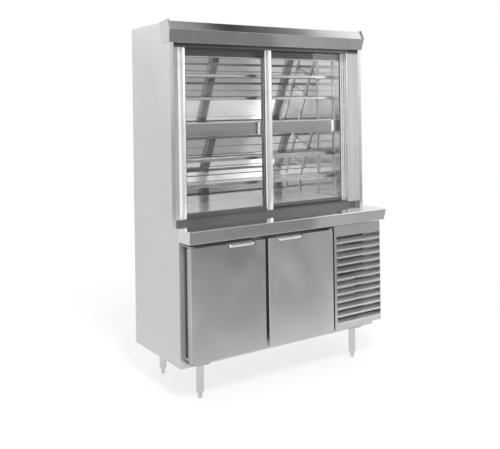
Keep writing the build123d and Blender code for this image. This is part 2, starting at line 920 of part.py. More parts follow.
with BuildPart() as lamp_holders:
    for side in (-1, 1):
        holder_x = sorted((side * lamp_length / 2, side * (lamp_length / 2 + holder_thick)))
        holder_y = (valance_back_y, lamp_y + holder_size / 2)
        block(holder_x, holder_y, (lamp_z - holder_size / 2, lamp_z + holder_size / 2))
save(lamp_holders, "lamp_holders")

with BuildPart() as lamp_tube:
    rod((-lamp_length / 2, lamp_y, lamp_z), (lamp_length / 2, lamp_y, lamp_z), lamp_radius)
    inner_end = lamp_length / 2 - lamp_wall
    rod((-inner_end, lamp_y, lamp_z), (inner_end, lamp_y, lamp_z), lamp_radius - lamp_wall, Mode.SUBTRACT)
save(lamp_tube, "lamp_tube")


# Mirrors on the leaning faces of the back wall
def mirror_profile(foot, head):
    run = Vector(head[0] - foot[0], head[1] - foot[1], 0).normalized()
    out = Vector(-run.Y, run.X, 0)
    low = Vector(foot[0], foot[1], 0) + run * mirror_thick
    high = Vector(head[0], head[1], 0) - run * mirror_thick
    corners = [low, high, high + out * mirror_thick, low + out * mirror_thick]
    return [(corner.X, corner.Y) for corner in corners]


with BuildPart() as mirrors:
    mirror_x = (-inner_half + mirror_edge, inner_half - mirror_edge)
    prism(mirror_profile((inner_back_y, slope_foot_z), (lower_reach_y, housing_z)), mirror_x)
    prism(mirror_profile((inner_back_y, housing_top_z), (upper_reach_y, slope_top_z)), mirror_x)
save(mirrors, "mirrors")

# Evaporator in its polished housing across the middle of the display
housing_x = (-inner_half, inner_half)
housing_y = (valance_back_y, lower_reach_y)

with BuildPart() as evaporator_housing:
    block(housing_x, housing_y, (housing_z, housing_top_z))
    core_x = (housing_x[0] + housing_sheet, housing_x[1] - housing_sheet)
    core_y = (housing_y[0] + housing_sheet, housing_y[1])
    block(core_x, core_y, (housing_z + housing_sheet, housing_top_z - housing_sheet), Mode.SUBTRACT)
save(evaporator_housing, "evaporator_housing")

with BuildPart() as evaporator_coil:
    evaporator_x = shrink(core_x, evaporator_end_gap)
    evaporator_z = (housing_z + housing_sheet, housing_top_z - evaporator_head_gap)
    fins_y = (housing_y[0] + evaporator_front_gap, housing_y[1] - evaporator_rear_gap)
    block(evaporator_x, fins_y, evaporator_z)
    loop = (fins_y[1] - fins_y[0]) / evaporator_bends
    for number in range(evaporator_bends):
        middle = (evaporator_x[1], fins_y[0] + (number + 0.5) * loop, sum(evaporator_z) / 2)
        with BuildSketch(Plane(origin=middle, x_dir=(0, 1, 0), z_dir=(1, 0, 0))):
            with Locations((-loop / 4, 0)):
                RegularPolygon(tube_radius, 6)
        revolve(axis=Axis(middle, (0, 0, 1)), revolution_arc=180)
save(evaporator_coil, "evaporator_coil")


# Wire shelves: a front strip, side rods, a rear rail with the wires let into it, and a low middle rail
def make_shelf(width, depth, count):
    with BuildPart() as shelf:
        strip_z = (-shelf_strip_height / 2, shelf_strip_height / 2)
        rail_x = (-width / 2, width / 2)
        rail_z = (-rod_radius, rod_radius)
        rail_y = (depth - 2 * rod_radius, depth)
        block(rail_x, (0, shelf_strip), strip_z)
        block(rail_x, rail_y, rail_z)
        for side in (-1, 1):
            side_x = sorted((side * width / 2, side * (width / 2 - 2 * rod_radius)))
            block(side_x, (shelf_strip, depth), rail_z)
        low_z = -wire_size / 2 - middle_rail_gap
        block(rail_x, (depth / 2 - rod_radius, depth / 2 + rod_radius), (low_z - 2 * rod_radius, low_z))
        pitch = (width - 4 * rod_radius) / (count + 1)
        with BuildSketch(Plane.XZ.offset(-rail_y[0])):
            with GridLocations(pitch, 1, count, 1):
                Rectangle(wire_size, wire_size)
        extrude(amount=rail_y[0] - shelf_strip)
    return shelf


def place_shelves(name, shelf, middle_x, front_y, levels):
    with BuildPart() as shelves:
        with Locations(*[(middle_x, front_y, level) for level in levels]):
            add(shelf.part)
    save(shelves, name)


shelf_front_y = jamb_y + shelf_front
upper_lean = upper_slope_reach / (slope_top_z - housing_top_z)
mirror_set = mirror_thick * math.hypot(1, upper_lean)
top_shelf_head = seam_z + shelf_heights[-1] + shelf_strip_height / 2
top_shelf_back_y = inner_back_y - upper_lean * (top_shelf_head - housing_top_z) - mirror_set
shelf_depth = top_shelf_back_y - shelf_back_gap - shelf_front_y
rear_standard_y = upper_reach_y - mirror_set - standard_gap - standard_width / 2
display_levels = [seam_z + height for height in shelf_heights]
cupboard_levels = [floor_z + height for height in cupboard_shelf_heights]
cupboard_x = (-inner_half, divider_x[0])
cupboard_front_y = frame_back_y + cupboard_shelf_setback
display_shelf = make_shelf(2 * (inner_half - shelf_side_gap), shelf_depth, wire_count)
cupboard_width = cupboard_x[1] - cupboard_x[0] - 2 * shelf_side_gap
cupboard_shelf = make_shelf(cupboard_width, cupboard_shelf_depth, cupboard_wire_count)
place_shelves("display_shelves", display_shelf, 0, shelf_front_y, display_levels)
place_shelves("cupboard_shelves", cupboard_shelf, sum(cupboard_x) / 2, cupboard_front_y, cupboard_levels)


# Slotted strips on the inner walls, with the clips that the shelves rest on
def make_standard(wall_x, inward, middle_y, span_z, levels, pitch):
    length = span_z[1] - span_z[0]
    slots = int((length - pitch) // pitch)
    face = Plane(origin=(wall_x, middle_y, sum(span_z) / 2), x_dir=(0, 1, 0), z_dir=(1, 0, 0))
    with BuildPart() as standard:
        with BuildSketch(face):
            Rectangle(standard_width, length)
            with GridLocations(1, pitch, 1, slots):
                Rectangle(slot_width, slot_height, mode=Mode.SUBTRACT)
        extrude(amount=inward * standard_thick)
        for level in levels:
            clip_z = (level - rod_radius - clip_height, level - rod_radius)
            clip_y = (middle_y - clip_width / 2, middle_y + clip_width / 2)
            block(sorted((wall_x, wall_x + inward * (standard_thick + clip_reach))), clip_y, clip_z)
    return standard.part


lower_span = (deck_z + slot_width, housing_z - slot_width)
upper_span = (housing_top_z + slot_width, slope_top_z - slot_width)
cupboard_span = (floor_z + slot_width, top_panel_z - slot_width)
cupboard_rear_y = cupboard_front_y + cupboard_shelf_depth - standard_front
standards = []
wall_pairs = ((1, -inner_half, cupboard_x[0]), (-1, inner_half, cupboard_x[1]))
depth_pairs = (
    (shelf_front_y + standard_front, cupboard_front_y + standard_front),
    (rear_standard_y, cupboard_rear_y),
)
for inward, display_wall, cupboard_wall in wall_pairs:
    for display_y, cupboard_y in depth_pairs:
        for wall_x, middle_y, span_z, levels, pitch in (
            (display_wall, display_y, lower_span, display_levels[:2], slot_pitch),
            (display_wall, display_y, upper_span, display_levels[2:], slot_pitch),
            (cupboard_wall, cupboard_y, cupboard_span, cupboard_levels, cupboard_slot_pitch),
        ):
            standards.append(make_standard(wall_x, inward, middle_y, span_z, levels, pitch))

with BuildPart() as shelf_standards:
    add(standards)
save(shelf_standards, "shelf_standards")

# Machine space: tray and slotted rear panel
machine_x = (divider_x[1], inner_half)
machine_y = (frame_back_y, back_y - tray_sheet)
tray_z = base_z + tray_sheet

with BuildPart() as unit_tray:
    block(machine_x, machine_y, (base_z, base_z + tray_flange))
    well_x = (machine_x[0] + tray_sheet, machine_x[1] - tray_sheet)
    well_y = (machine_y[0] + tray_sheet, machine_y[1] - tray_sheet)
    block(well_x, well_y, (tray_z, base_z + tray_flange), Mode.SUBTRACT)
save(unit_tray, "unit_tray")

with BuildPart() as machine_rear_panel:
    block(machine_x, (back_y - tray_sheet, back_y), (base_z, top_panel_z))
    slot_x = (machine_x[0] + tray_flange, machine_x[1] - tray_flange)
    for number in range(rear_slot_count):
        slot_z = base_z + rear_slot_low + number * rear_slot_pitch
        block(slot_x, (back_y - tray_sheet, back_y), (slot_z, slot_z + rear_slot_height), Mode.SUBTRACT)
save(machine_rear_panel, "machine_rear_panel")

# Condenser with its end plates and return bends
coil_x = (machine_x[0] + coil_side_gap, machine_x[1] - coil_side_gap)
coil_y = (frame_back_y + coil_setback, frame_back_y + coil_setback + coil_depth)
coil_z = (base_z + coil_foot, base_z + coil_foot + coil_height)

with BuildPart() as condenser_coil:
    block(coil_x, coil_y, coil_z)
    for end_x in (coil_x[0] - tray_sheet, coil_x[1]):
        block((end_x, end_x + tray_sheet), coil_y, (tray_z, coil_z[1] + tray_sheet))
    bend_pitch = coil_height / bend_count
    for number in range(bend_count):
        bend_z = coil_z[0] + (number + 0.5) * bend_pitch
        bend_low, bend_high = bend_z - bend_pitch / 4 - tube_radius, bend_z + bend_pitch / 4 + tube_radius
        corner = bend_pitch / 4
        bend_x = (coil_x[1] + tray_sheet, coil_x[1] + tray_sheet + corner + tube_radius)
        middle_y = (coil_y[0] + coil_y[1]) / 2
        outline = [(bend_x[0], bend_low), (bend_x[1] - corner, bend_low), (bend_x[1], bend_low + corner),
                   (bend_x[1], bend_high - corner), (bend_x[1] - corner, bend_high), (bend_x[0], bend_high)]
        with BuildSketch(Plane.XZ.offset(tube_radius - middle_y)) as loop:
            with BuildLine():
                Polyline(*outline, close=True)
            make_face()
        extrude(loop.sketch, amount=-2 * tube_radius)
save(condenser_coil, "condenser_coil")

# Fan shroud, motor on its pedestal, and the fan
fan_x = (coil_x[0] + coil_x[1]) / 2
fan_z = (coil_z[0] + coil_z[1]) / 2
shroud_y = (coil_y[1], coil_y[1] + shroud_depth)

with BuildPart() as fan_shroud:
    block(coil_x, shroud_y, coil_z)
    duct_x = (coil_x[0] + skin, coil_x[1] - skin)
    duct_z = (coil_z[0] + skin, coil_z[1] - skin)
    block(duct_x, (shroud_y[0], shroud_y[1] - skin), duct_z, Mode.SUBTRACT)
    rod((fan_x, shroud_y[0], fan_z), (fan_x, shroud_y[1], fan_z), fan_opening, Mode.SUBTRACT)
save(fan_shroud, "fan_shroud")

hub_y = (shroud_y[1] - fan_hub_length, shroud_y[1])
motor_y = (hub_y[1] + motor_gap, hub_y[1] + motor_gap + motor_length)

with BuildPart() as condenser_fan:
    rod((fan_x, hub_y[0], fan_z), (fan_x, hub_y[1], fan_z), fan_hub_radius)
    hub_middle = Vector(fan_x, sum(hub_y) / 2, fan_z)
    root_distance = fan_hub_radius * fan_root_share
    tip_distance = fan_radius - fan_tip_gap
    twist = math.radians(fan_blade_pitch)
    for number in range(fan_blade_count):
        turn = 2 * math.pi * number / fan_blade_count
        radial = Vector(math.cos(turn), 0, math.sin(turn))
        tangent = Vector(-math.sin(turn), 0, math.cos(turn))
        along = tangent * math.cos(twist) + Vector(0, 1, 0) * math.sin(twist)
        for distance, chord in ((root_distance, root_chord), (tip_distance, tip_chord)):
            with BuildSketch(Plane(origin=hub_middle + radial * distance, x_dir=along, z_dir=radial)):
                Rectangle(chord, fan_blade_sheet)
        loft(ruled=True)
    bore_end = hub_y[1] - fan_bore_depth
    rod((fan_x, bore_end, fan_z), (fan_x, hub_y[1], fan_z), shaft_radius + shaft_clearance, Mode.SUBTRACT)
save(condenser_fan, "condenser_fan")

with BuildPart() as condenser_fan_motor:
    rod((fan_x, motor_y[0], fan_z), (fan_x, motor_y[1], fan_z), motor_radius)
    rod((fan_x, bore_end + shaft_end_gap, fan_z), (fan_x, motor_y[0], fan_z), shaft_radius)
    post_x = (fan_x - motor_radius / 2, fan_x + motor_radius / 2)
    block(post_x, (motor_y[1] - pedestal_sheet, motor_y[1]), (tray_z, fan_z))
    foot_x = (fan_x - motor_radius, fan_x + motor_radius)
    foot_y = (motor_y[1] - pedestal_sheet, motor_y[1] + pedestal_foot)
    block(foot_x, foot_y, (tray_z, tray_z + pedestal_sheet))
save(condenser_fan_motor, "condenser_fan_motor")

# Hermetic compressor on its foot plate
compressor_x = (machine_x[0] + machine_x[1]) / 2
compressor_y = inner_back_y - compressor_radius - compressor_setback
compressor_z = tray_z + compressor_foot

with BuildPart() as compressor:
    dome_z = compressor_z + compressor_height
    can_sections = [
        (compressor_z, compressor_radius - dome_crown),
        (compressor_z + dome_crown, compressor_radius),
        (dome_z - dome_slope, compressor_radius),
        (dome_z - dome_crown, compressor_radius - dome_slope / 2),
        (dome_z, compressor_radius - dome_slope),
    ]
    faceted(can_sections, compressor_x, compressor_y, can_sides)
    void = (compressor_x - compressor_radius / 2, compressor_x + compressor_radius / 2)
    void_y = (compressor_y - compressor_radius / 2, compressor_y + compressor_radius / 2)
    block(void, void_y, shrink((compressor_z, dome_z), shell_wall), Mode.SUBTRACT)
    plate_x = (compressor_x - compressor_radius, compressor_x + compressor_radius)
    plate_y = (compressor_y - foot_plate_depth / 2, compressor_y + foot_plate_depth / 2)
    plate_z = (compressor_z - foot_plate, compressor_z)
    block(plate_x, plate_y, plate_z)
    for corner_x in shrink(plate_x, grommet_inset):
        for corner_y in shrink(plate_y, grommet_inset):
            hexagon_rod((corner_x, corner_y, tray_z), (corner_x, corner_y, plate_z[0]), grommet_radius)
    terminal_x = (plate_x[0] - terminal_box * 2 / 3, plate_x[0] + terminal_box / 3)
    terminal_y = (compressor_y - terminal_width / 2, compressor_y + terminal_width / 2)
    terminal_z = compressor_z + terminal_rise
    block(terminal_x, terminal_y, (terminal_z, terminal_z + terminal_height))
save(compressor, "compressor")


# Refrigerant pipes, with one filter drier in the liquid line
def pipe(points, bend):
    with BuildLine() as path:
        FilletPolyline(*points, radius=bend)
    start = path.line @ 0
    with BuildSketch(Plane(origin=start, z_dir=path.line % 0)) as section:
        RegularPolygon(pipe_radius, 6)
    sweep(section.sketch, path=path.line)


drier_x = machine_x[0] + drier_radius + drier_clip
drier_y = compressor_y - compressor_radius - drier_setback
drier_z = fan_z - drier_length / 2
drier_head_z = drier_z + drier_length
port_x = (compressor_x - port_offset, compressor_x + port_offset)
discharge_x = coil_x[1] - discharge_inset
discharge_y = (coil_y[0] + coil_y[1]) / 2

with BuildPart() as refrigerant_lines:
    discharge_line = [
        (port_x[1], compressor_y, dome_z),
        (port_x[1], compressor_y, dome_z + pipe_rise),
        (discharge_x, discharge_y, dome_z + pipe_rise),
        (discharge_x, discharge_y, coil_z[1]),
    ]
    suction_line = [
        (port_x[0], compressor_y, dome_z),
        (port_x[0], compressor_y, dome_z + pipe_rise),
        (port_x[0], compressor_y + pipe_jog, dome_z + pipe_rise),
        (port_x[0], compressor_y + pipe_jog, top_panel_z),
    ]
    liquid_line = [
        (drier_x, drier_y, drier_head_z),
        (drier_x, drier_y, drier_head_z + pipe_rise),
        (drier_x, drier_y + pipe_jog, drier_head_z + pipe_rise),
        (drier_x, drier_y + pipe_jog, top_panel_z),
    ]
    for line in (discharge_line, suction_line, liquid_line):
        pipe(line, pipe_bend)
save(refrigerant_lines, "refrigerant_lines")

with BuildPart() as filter_drier:
    drier_sections = [
        (drier_z, drier_radius - drier_slope),
        (drier_z + drier_slope, drier_radius),
        (drier_head_z - drier_slope, drier_radius),
        (drier_head_z, drier_radius - drier_slope),
    ]
    faceted(drier_sections, drier_x, drier_y, drier_sides)
save(filter_drier, "filter_drier")

# Controls: a box on the post, a thermostat knob and the lamp's rocker switch
box_x = (grille_x[0], grille_x[0] + control_width)
box_y = (wall_y + control_setback, wall_y + control_setback + control_depth)
box_high_z = rail_high_z - control_drop
box_z = (box_high_z - control_height, box_high_z)
control_z = sum(box_z) / 2
knob_x = box_x[0] + knob_inset
rocker_x = box_x[1] - rocker_inset
pivot_y = box_y[0] + pivot_depth
pocket_half = rocker_width / 2 + rocker_clearance / 2
spindle_y = box_y[0] - spindle_length

with BuildPart() as control_box:
    block(box_x, box_y, box_z)
    rod((knob_x, spindle_y, control_z), (knob_x, box_y[0], control_z), shaft_radius)
    pocket_x = (rocker_x - pocket_half, rocker_x + pocket_half)
    pocket_reach = rocker_height / 2 + rocker_swing_gap
    pocket_z = (control_z - pocket_reach, control_z + pocket_reach)
    block(pocket_x, (box_y[0], box_y[0] + rocker_depth), pocket_z, Mode.SUBTRACT)
    socket_end = pocket_half + pivot_socket
    socket = ((rocker_x - socket_end, pivot_y, control_z), (rocker_x + socket_end, pivot_y, control_z))
    rod(*socket, pivot_radius + shaft_clearance, Mode.SUBTRACT)
save(control_box, "control_box")

with BuildPart() as thermostat_knob:
    with BuildSketch(Plane.XZ.offset(-box_y[0] + knob_gap)):
        with Locations((knob_x, control_z)):
            RegularPolygon(knob_radius, knob_sides)
    extrude(amount=knob_length)
    bore_y = spindle_y - shaft_end_gap
    rod((knob_x, bore_y, control_z), (knob_x, box_y[0], control_z), shaft_radius + shaft_clearance,
        Mode.SUBTRACT)
save(thermostat_knob, "thermostat_knob")

with BuildPart() as lamp_rocker:
    tilt = math.radians(rocker_tilt)
    reach = rocker_height / 2
    outline = [
        (rocker_back, -reach),
        (-rocker_front, -reach),
        (rocker_dip - rocker_front, 0),
        (-rocker_front, reach),
        (rocker_back, reach),
    ]
    turned = [
        (
            pivot_y + y * math.cos(tilt) - z * math.sin(tilt),
            control_z + y * math.sin(tilt) + z * math.cos(tilt),
        )
        for y, z in outline
    ]
    prism(turned, (rocker_x - rocker_width / 2, rocker_x + rocker_width / 2))
    pin_end = socket_end - rocker_clearance
    rod((rocker_x - pin_end, pivot_y, control_z), (rocker_x + pin_end, pivot_y, control_z), pivot_radius)
save(lamp_rocker, "lamp_rocker")
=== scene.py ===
import math
import bpy
import numpy as np
from mathutils import Matrix, Vector


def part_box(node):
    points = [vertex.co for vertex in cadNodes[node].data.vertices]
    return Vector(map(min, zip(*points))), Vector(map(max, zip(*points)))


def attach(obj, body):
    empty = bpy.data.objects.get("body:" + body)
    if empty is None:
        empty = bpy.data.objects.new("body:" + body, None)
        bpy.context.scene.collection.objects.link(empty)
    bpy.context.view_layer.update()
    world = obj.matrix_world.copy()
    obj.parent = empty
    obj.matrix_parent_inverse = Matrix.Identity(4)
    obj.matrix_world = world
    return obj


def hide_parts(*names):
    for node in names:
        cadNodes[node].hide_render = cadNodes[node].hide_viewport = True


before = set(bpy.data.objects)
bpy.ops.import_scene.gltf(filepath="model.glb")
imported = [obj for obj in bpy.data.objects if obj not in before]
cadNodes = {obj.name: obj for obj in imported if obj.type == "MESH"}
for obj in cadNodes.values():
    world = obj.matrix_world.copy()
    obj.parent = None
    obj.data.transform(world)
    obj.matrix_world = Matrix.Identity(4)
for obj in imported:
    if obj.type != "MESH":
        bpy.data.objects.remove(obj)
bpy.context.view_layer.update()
print("frame loaded:", len(cadNodes), "nodes")

# camera: stands left of the case, looks level, and shifts its view down to the floor
viewSettings = {
    "place": (-2.1896, -3.1729, 1.4000),
    "yaw": 33.56,
    "pitch": 0.02,
    "roll": -0.83,
    "focal": 51.47,
    "shiftX": 0.0043,
    "shiftY": -0.2351,
}


def makeCamera(values):
    yaw, pitch, roll = (math.radians(values[key]) for key in ("yaw", "pitch", "roll"))
    forward = Vector((math.sin(yaw) * math.cos(pitch), math.cos(yaw) * math.cos(pitch), math.sin(pitch)))
    right = Vector((math.cos(yaw), -math.sin(yaw), 0))
    upward = right.cross(forward)
    tiltedRight = math.cos(roll) * right + math.sin(roll) * upward
    tiltedUp = -math.sin(roll) * right + math.cos(roll) * upward
    data = bpy.data.cameras.new("viewCamera")
    data.lens = values["focal"]
    data.shift_x = values["shiftX"]
    data.shift_y = values["shiftY"]
    data.dof.use_dof = False
    camera = bpy.data.objects.new("viewCamera", data)
    turned = Matrix((tiltedRight, tiltedUp, -forward)).transposed().to_4x4()
    camera.matrix_world = Matrix.Translation(values["place"]) @ turned
    bpy.context.scene.collection.objects.link(camera)
    bpy.context.scene.camera = camera


makeCamera(viewSettings)
bpy.context.scene.view_settings.view_transform = "Standard"
print("camera placed")


# small helpers for node trees
def addNode(tree, kind, sockets=None, **settings):
    made = tree.nodes.new("ShaderNode" + kind)
    for key, value in settings.items():
        setattr(made, key, value)
    for key, value in (sockets or {}).items():
        if isinstance(value, bpy.types.NodeSocket):
            tree.links.new(value, made.inputs[key])
        else:
            made.inputs[key].default_value = value
    return made


def addMath(tree, operation, first, second=0.0, clamp=False):
    return addNode(tree, "Math", {0: first, 1: second}, operation=operation, use_clamp=clamp).outputs[0]


def addMix(tree, factor, first, second):
    made = addNode(tree, "Mix", data_type="RGBA")
    for socket, value in ((0, factor), (6, first), (7, second)):
        if isinstance(value, bpy.types.NodeSocket):
            tree.links.new(value, made.inputs[socket])
        else:
            made.inputs[socket].default_value = value
    return made.outputs[2]


def addRange(tree, value, low, high, newLow=0.0, newHigh=1.0, smooth=True):
    kind = "SMOOTHSTEP" if smooth else "LINEAR"
    sockets = {"Value": value, "From Min": low, "From Max": high, "To Min": newLow, "To Max": newHigh}
    return addNode(tree, "MapRange", sockets, interpolation_type=kind).outputs["Result"]


def startGroup(name, inputs, outputs):
    group = bpy.data.node_groups.new(name, "ShaderNodeTree")
    for label, kind, value in inputs:
        socket = group.interface.new_socket(label, in_out="INPUT", socket_type="NodeSocket" + kind)
        socket.default_value = value
    for label, kind in outputs:
        group.interface.new_socket(label, in_out="OUTPUT", socket_type="NodeSocket" + kind)
    return group, group.nodes.new("NodeGroupInput"), group.nodes.new("NodeGroupOutput")


# drawn grain: fine noise stretched along the rolling direction of the sheet
def makeGrainGroup():
    group, given, result = startGroup(
        "drawnGrain",
        [("Stretch", "Vector", (900.0, 900.0, 4.0)), ("Contrast", "Float", 1.0)],
        [("Mask", "Float")],
    )
    place = addNode(group, "TexCoord").outputs["Object"]
    fine = addNode(group, "VectorMath", {0: place, 1: given.outputs["Stretch"]}, operation="MULTIPLY")
    sockets = {"Vector": fine.outputs[0], "Scale": 1.0, "Detail": 3.0, "Roughness": 0.6}
    noise = addNode(group, "TexNoise", sockets)
    centred = addMath(group, "SUBTRACT", noise.outputs["Fac"], 0.5)
    scaled = addMath(group, "MULTIPLY", centred, given.outputs["Contrast"])
    group.links.new(addMath(group, "ADD", scaled, 0.5, True), result.inputs["Mask"])
    return group


# clouding: the soft uneven sheen that wiping and rolling leave on sheet metal
def makeCloudGroup():
    group, given, result = startGroup(
        "softClouding",
        [("Size", "Float", 0.3), ("Shift", "Vector", (0.0, 0.0, 0.0))],
        [("Mask", "Float")],
    )
    place = addNode(group, "TexCoord").outputs["Object"]
    moved = addNode(group, "VectorMath", {0: place, 1: given.outputs["Shift"]}, operation="ADD")
    scale = addMath(group, "DIVIDE", 1.0, given.outputs["Size"])
    noise = addNode(
        group, "TexNoise",
        {"Vector": moved.outputs[0], "Scale": scale, "Detail": 2.5, "Roughness": 0.45, "Distortion": 0.6},
    )
    group.links.new(addRange(group, noise.outputs["Fac"], 0.3, 0.7), result.inputs["Mask"])
    return group


# specks: sparse small marks such as dust, dirt and dried drops
def makeSpeckGroup():
    group, given, result = startGroup(
        "strayMarks",
        [("Scale", "Float", 60.0), ("Amount", "Float", 0.2)],
        [("Mask", "Float")],
    )
    place = addNode(group, "TexCoord").outputs["Object"]
    dots = addNode(group, "TexVoronoi", {"Vector": place, "Scale": given.outputs["Scale"], "Randomness": 1.0})
    near = addRange(group, dots.outputs["Distance"], 0.16, 0.05)
    patch = addNode(group, "TexNoise", {"Vector": place, "Scale": 5.0, "Detail": 3.0})
    kept = addRange(group, patch.outputs["Fac"], 0.62, 0.5)
    both = addMath(group, "MULTIPLY", near, kept)
    group.links.new(addMath(group, "MULTIPLY", both, given.outputs["Amount"]), result.inputs["Mask"])
    return group


grainGroup = makeGrainGroup()
cloudGroup = makeCloudGroup()
speckGroup = makeSpeckGroup()


def useGroup(tree, group, **sockets):
    made = tree.nodes.new("ShaderNodeGroup")
    made.node_tree = group
    for key, value in sockets.items():
        made.inputs[key].default_value = value
    return made.outputs["Mask"]


def grey(level, tint=(1.0, 1.0, 1.0)):
    return (level * tint[0], level * tint[1], level * tint[2], 1.0)


def startMaterial(name):
    material = bpy.data.materials.new(name)
    material.use_nodes = True
    tree = material.node_tree
    return tree, tree.nodes["Principled BSDF"]


def finishBump(tree, shader, height, strength, distance):
    bump = addNode(tree, "Bump", {"Height": height, "Strength": strength, "Distance": distance})
    tree.links.new(bump.outputs["Normal"], shader.inputs["Normal"])


# sheet steel: grain and clouding move its tone, its gloss and its surface a little
def makeSteel(name, values):
    tree, shader = startMaterial(name)
    shader.inputs["Metallic"].default_value = values["metal"]
    grain = useGroup(tree, grainGroup, Stretch=values["stretch"], Contrast=values["contrast"])
    cloud = useGroup(tree, cloudGroup, Size=values["cloudSize"], Shift=values["shift"])
    marks = useGroup(tree, speckGroup, Scale=values["markScale"], Amount=values["marks"])
    dark, light = (values["level"] * (1 + step * values["grainTone"]) for step in (-1, 1))
    tone = addRange(tree, grain, 0.0, 1.0, dark, light, False)
    shade = addRange(tree, cloud, 0.0, 1.0, 1.0 - values["clouding"], 1.0 + values["clouding"], False)
    tone = addMath(tree, "MULTIPLY", tone, shade)
    tone = addMath(tree, "MULTIPLY", tone, addMath(tree, "SUBTRACT", 1.0, marks))
    blue = addMath(tree, "MULTIPLY", tone, values["coolness"])
    colour = addNode(tree, "CombineColor", {"Red": tone, "Green": tone, "Blue": blue})
    tree.links.new(colour.outputs[0], shader.inputs["Base Color"])
    sleek, dull = (values["rough"] * (1 + step * values["glossSwing"]) for step in (-1, 1))
    rough = addRange(tree, cloud, 0.0, 1.0, sleek, dull, False)
    grained = addMath(tree, "MULTIPLY", grain, values["rough"] * values["glossSwing"])
    rough = addMath(tree, "ADD", rough, grained)
    if values["polishedWithin"]:
        place = addNode(tree, "SeparateXYZ", {0: addNode(tree, "TexCoord").outputs["Object"]})
        apart = addMath(tree, "ABSOLUTE", place.outputs[values["polishedAcross"]])
        near, far = (values["polishedWithin"] + step * values["polishedEdge"] for step in (-1, 1))
        plain = addRange(tree, apart, near, far)
        roughShare = addRange(tree, plain, 0.0, 1.0, values["polish"], 1.0, False)
        grainShare = addRange(tree, plain, 0.0, 1.0, values["polishedGrain"], 1.0, False)
        rough = addMath(tree, "MULTIPLY", rough, roughShare)
        grain = addMath(tree, "MULTIPLY", grain, grainShare)
    tree.links.new(rough, shader.inputs["Roughness"])
    finishBump(tree, shader, grain, values["bump"], values["bumpDepth"])


acrossSheet = (5.0, 5.0, 900.0)
upSheet = (900.0, 900.0, 5.0)
steelBase = {
    "level": 0.62, "rough": 0.34, "stretch": upSheet, "contrast": 1.2, "cloudSize": 0.34,
    "clouding": 0.04, "shift": (0.0, 0.0, 0.0), "markScale": 45.0, "marks": 0.06, "bump": 0.12,
    "polishedAcross": "X", "polishedWithin": 0.0, "polishedEdge": 0.0006, "polishedGrain": 0.15,
    "polish": 1.0, "metal": 1.0, "grainTone": 0.06, "glossSwing": 0.15, "coolness": 1.012,
    "bumpDepth": 0.0002,
}
steelKinds = {
    "sideSteel": {"level": 0.64, "rough": 0.36, "cloudSize": 0.6, "clouding": 0.03},
    "caseSteel": {
        "level": 0.64, "rough": 0.36, "cloudSize": 0.5, "clouding": 0.05, "polishedWithin": 0.5905,
        "polish": 0.3,
    },
    "backSteel": {
        "level": 0.64, "rough": 0.36, "cloudSize": 0.6, "clouding": 0.03, "polishedAcross": "Y",
        "polishedWithin": 0.297, "polish": 0.12,
    },
    # the left door's steel is set darker than the right door's: painted shade
    "shadedLeftDoorSteel": {"level": 0.52, "rough": 0.33, "clouding": 0.08, "shift": (0.35, 0.0, 0.2)},
    "rightDoorSteel": {"level": 0.62, "rough": 0.33, "clouding": 0.06, "shift": (0.35, 0.0, 0.2)},
    "frontSteel": {"level": 0.6, "rough": 0.3},
    "hoodSteel": {"level": 0.6, "rough": 0.06, "stretch": acrossSheet, "cloudSize": 0.22, "clouding": 0.05},
    "ledgeSteel": {"level": 0.66, "rough": 0.07, "stretch": acrossSheet, "bump": 0.05},
    "lidSteel": {"level": 0.66, "rough": 0.18, "stretch": acrossSheet, "bump": 0.03, "metal": 0.8},
    # cover strips: real strips whose pale, weakly metallic tone also paints highlight lines
    "highlightCoverStrip": {"level": 0.86, "rough": 0.36, "stretch": upSheet, "metal": 0.4},
    "innerSteel": {"level": 0.34, "rough": 0.2, "stretch": acrossSheet},
    "deckSteel": {"level": 0.86, "rough": 0.2, "stretch": acrossSheet, "bump": 0.03, "metal": 0.5},
    "brightHem": {"level": 0.9, "rough": 0.4, "stretch": acrossSheet},
    "pullChrome": {"level": 0.74, "rough": 0.14, "bump": 0.03, "cloudSize": 0.04, "marks": 0.1},
    "grilleSteel": {"level": 0.62, "rough": 0.26, "stretch": acrossSheet},
    "legSteel": {"level": 0.6, "rough": 0.08, "stretch": acrossSheet, "bump": 0.03, "marks": 0.03},
    "chromeWire": {"level": 0.5, "rough": 0.16, "bump": 0.02, "cloudSize": 0.08, "marks": 0.1},
    "zincSteel": {"level": 0.5, "rough": 0.45, "cloudSize": 0.05, "clouding": 0.12, "bump": 0.05},
    "frameMetal": {"level": 0.88, "rough": 0.26, "stretch": upSheet, "clouding": 0.03, "metal": 0.85},
    "channelMetal": {"level": 0.88, "rough": 0.22, "stretch": upSheet, "clouding": 0.04, "metal": 0.95},
    # rails, the hidden meeting stile and the housing's end block: a dark tone that is painted shade
    "shadedRailMetal": {"level": 0.2, "rough": 0.3, "stretch": acrossSheet, "clouding": 0.06},
    # tracks: a dark tone that is painted shade under the hood and ledge
    "shadedTrackMetal": {"level": 0.2, "rough": 0.34, "stretch": acrossSheet, "clouding": 0.05},
    "bladeSteel": {"level": 0.7, "rough": 0.32, "stretch": acrossSheet, "clouding": 0.05, "metal": 0.85},
    "finMetal": {"level": 0.6, "rough": 0.4, "clouding": 0.08},
    "linerMetal": {"level": 0.66, "rough": 0.42, "cloudSize": 0.12},
}
for kind, changes in steelKinds.items():
    makeSteel(kind, {**steelBase, **changes})

# mirror: a bright metal under a thin film of grease and dust
mirrorValues = {
    "level": 0.95, "greenness": 1.01, "rough": 0.02, "filmSize": 0.25, "filmRough": 2.5, "dust": 0.25,
    "dustScale": 70.0, "dustShade": 0.4, "dustRough": 0.3,
}


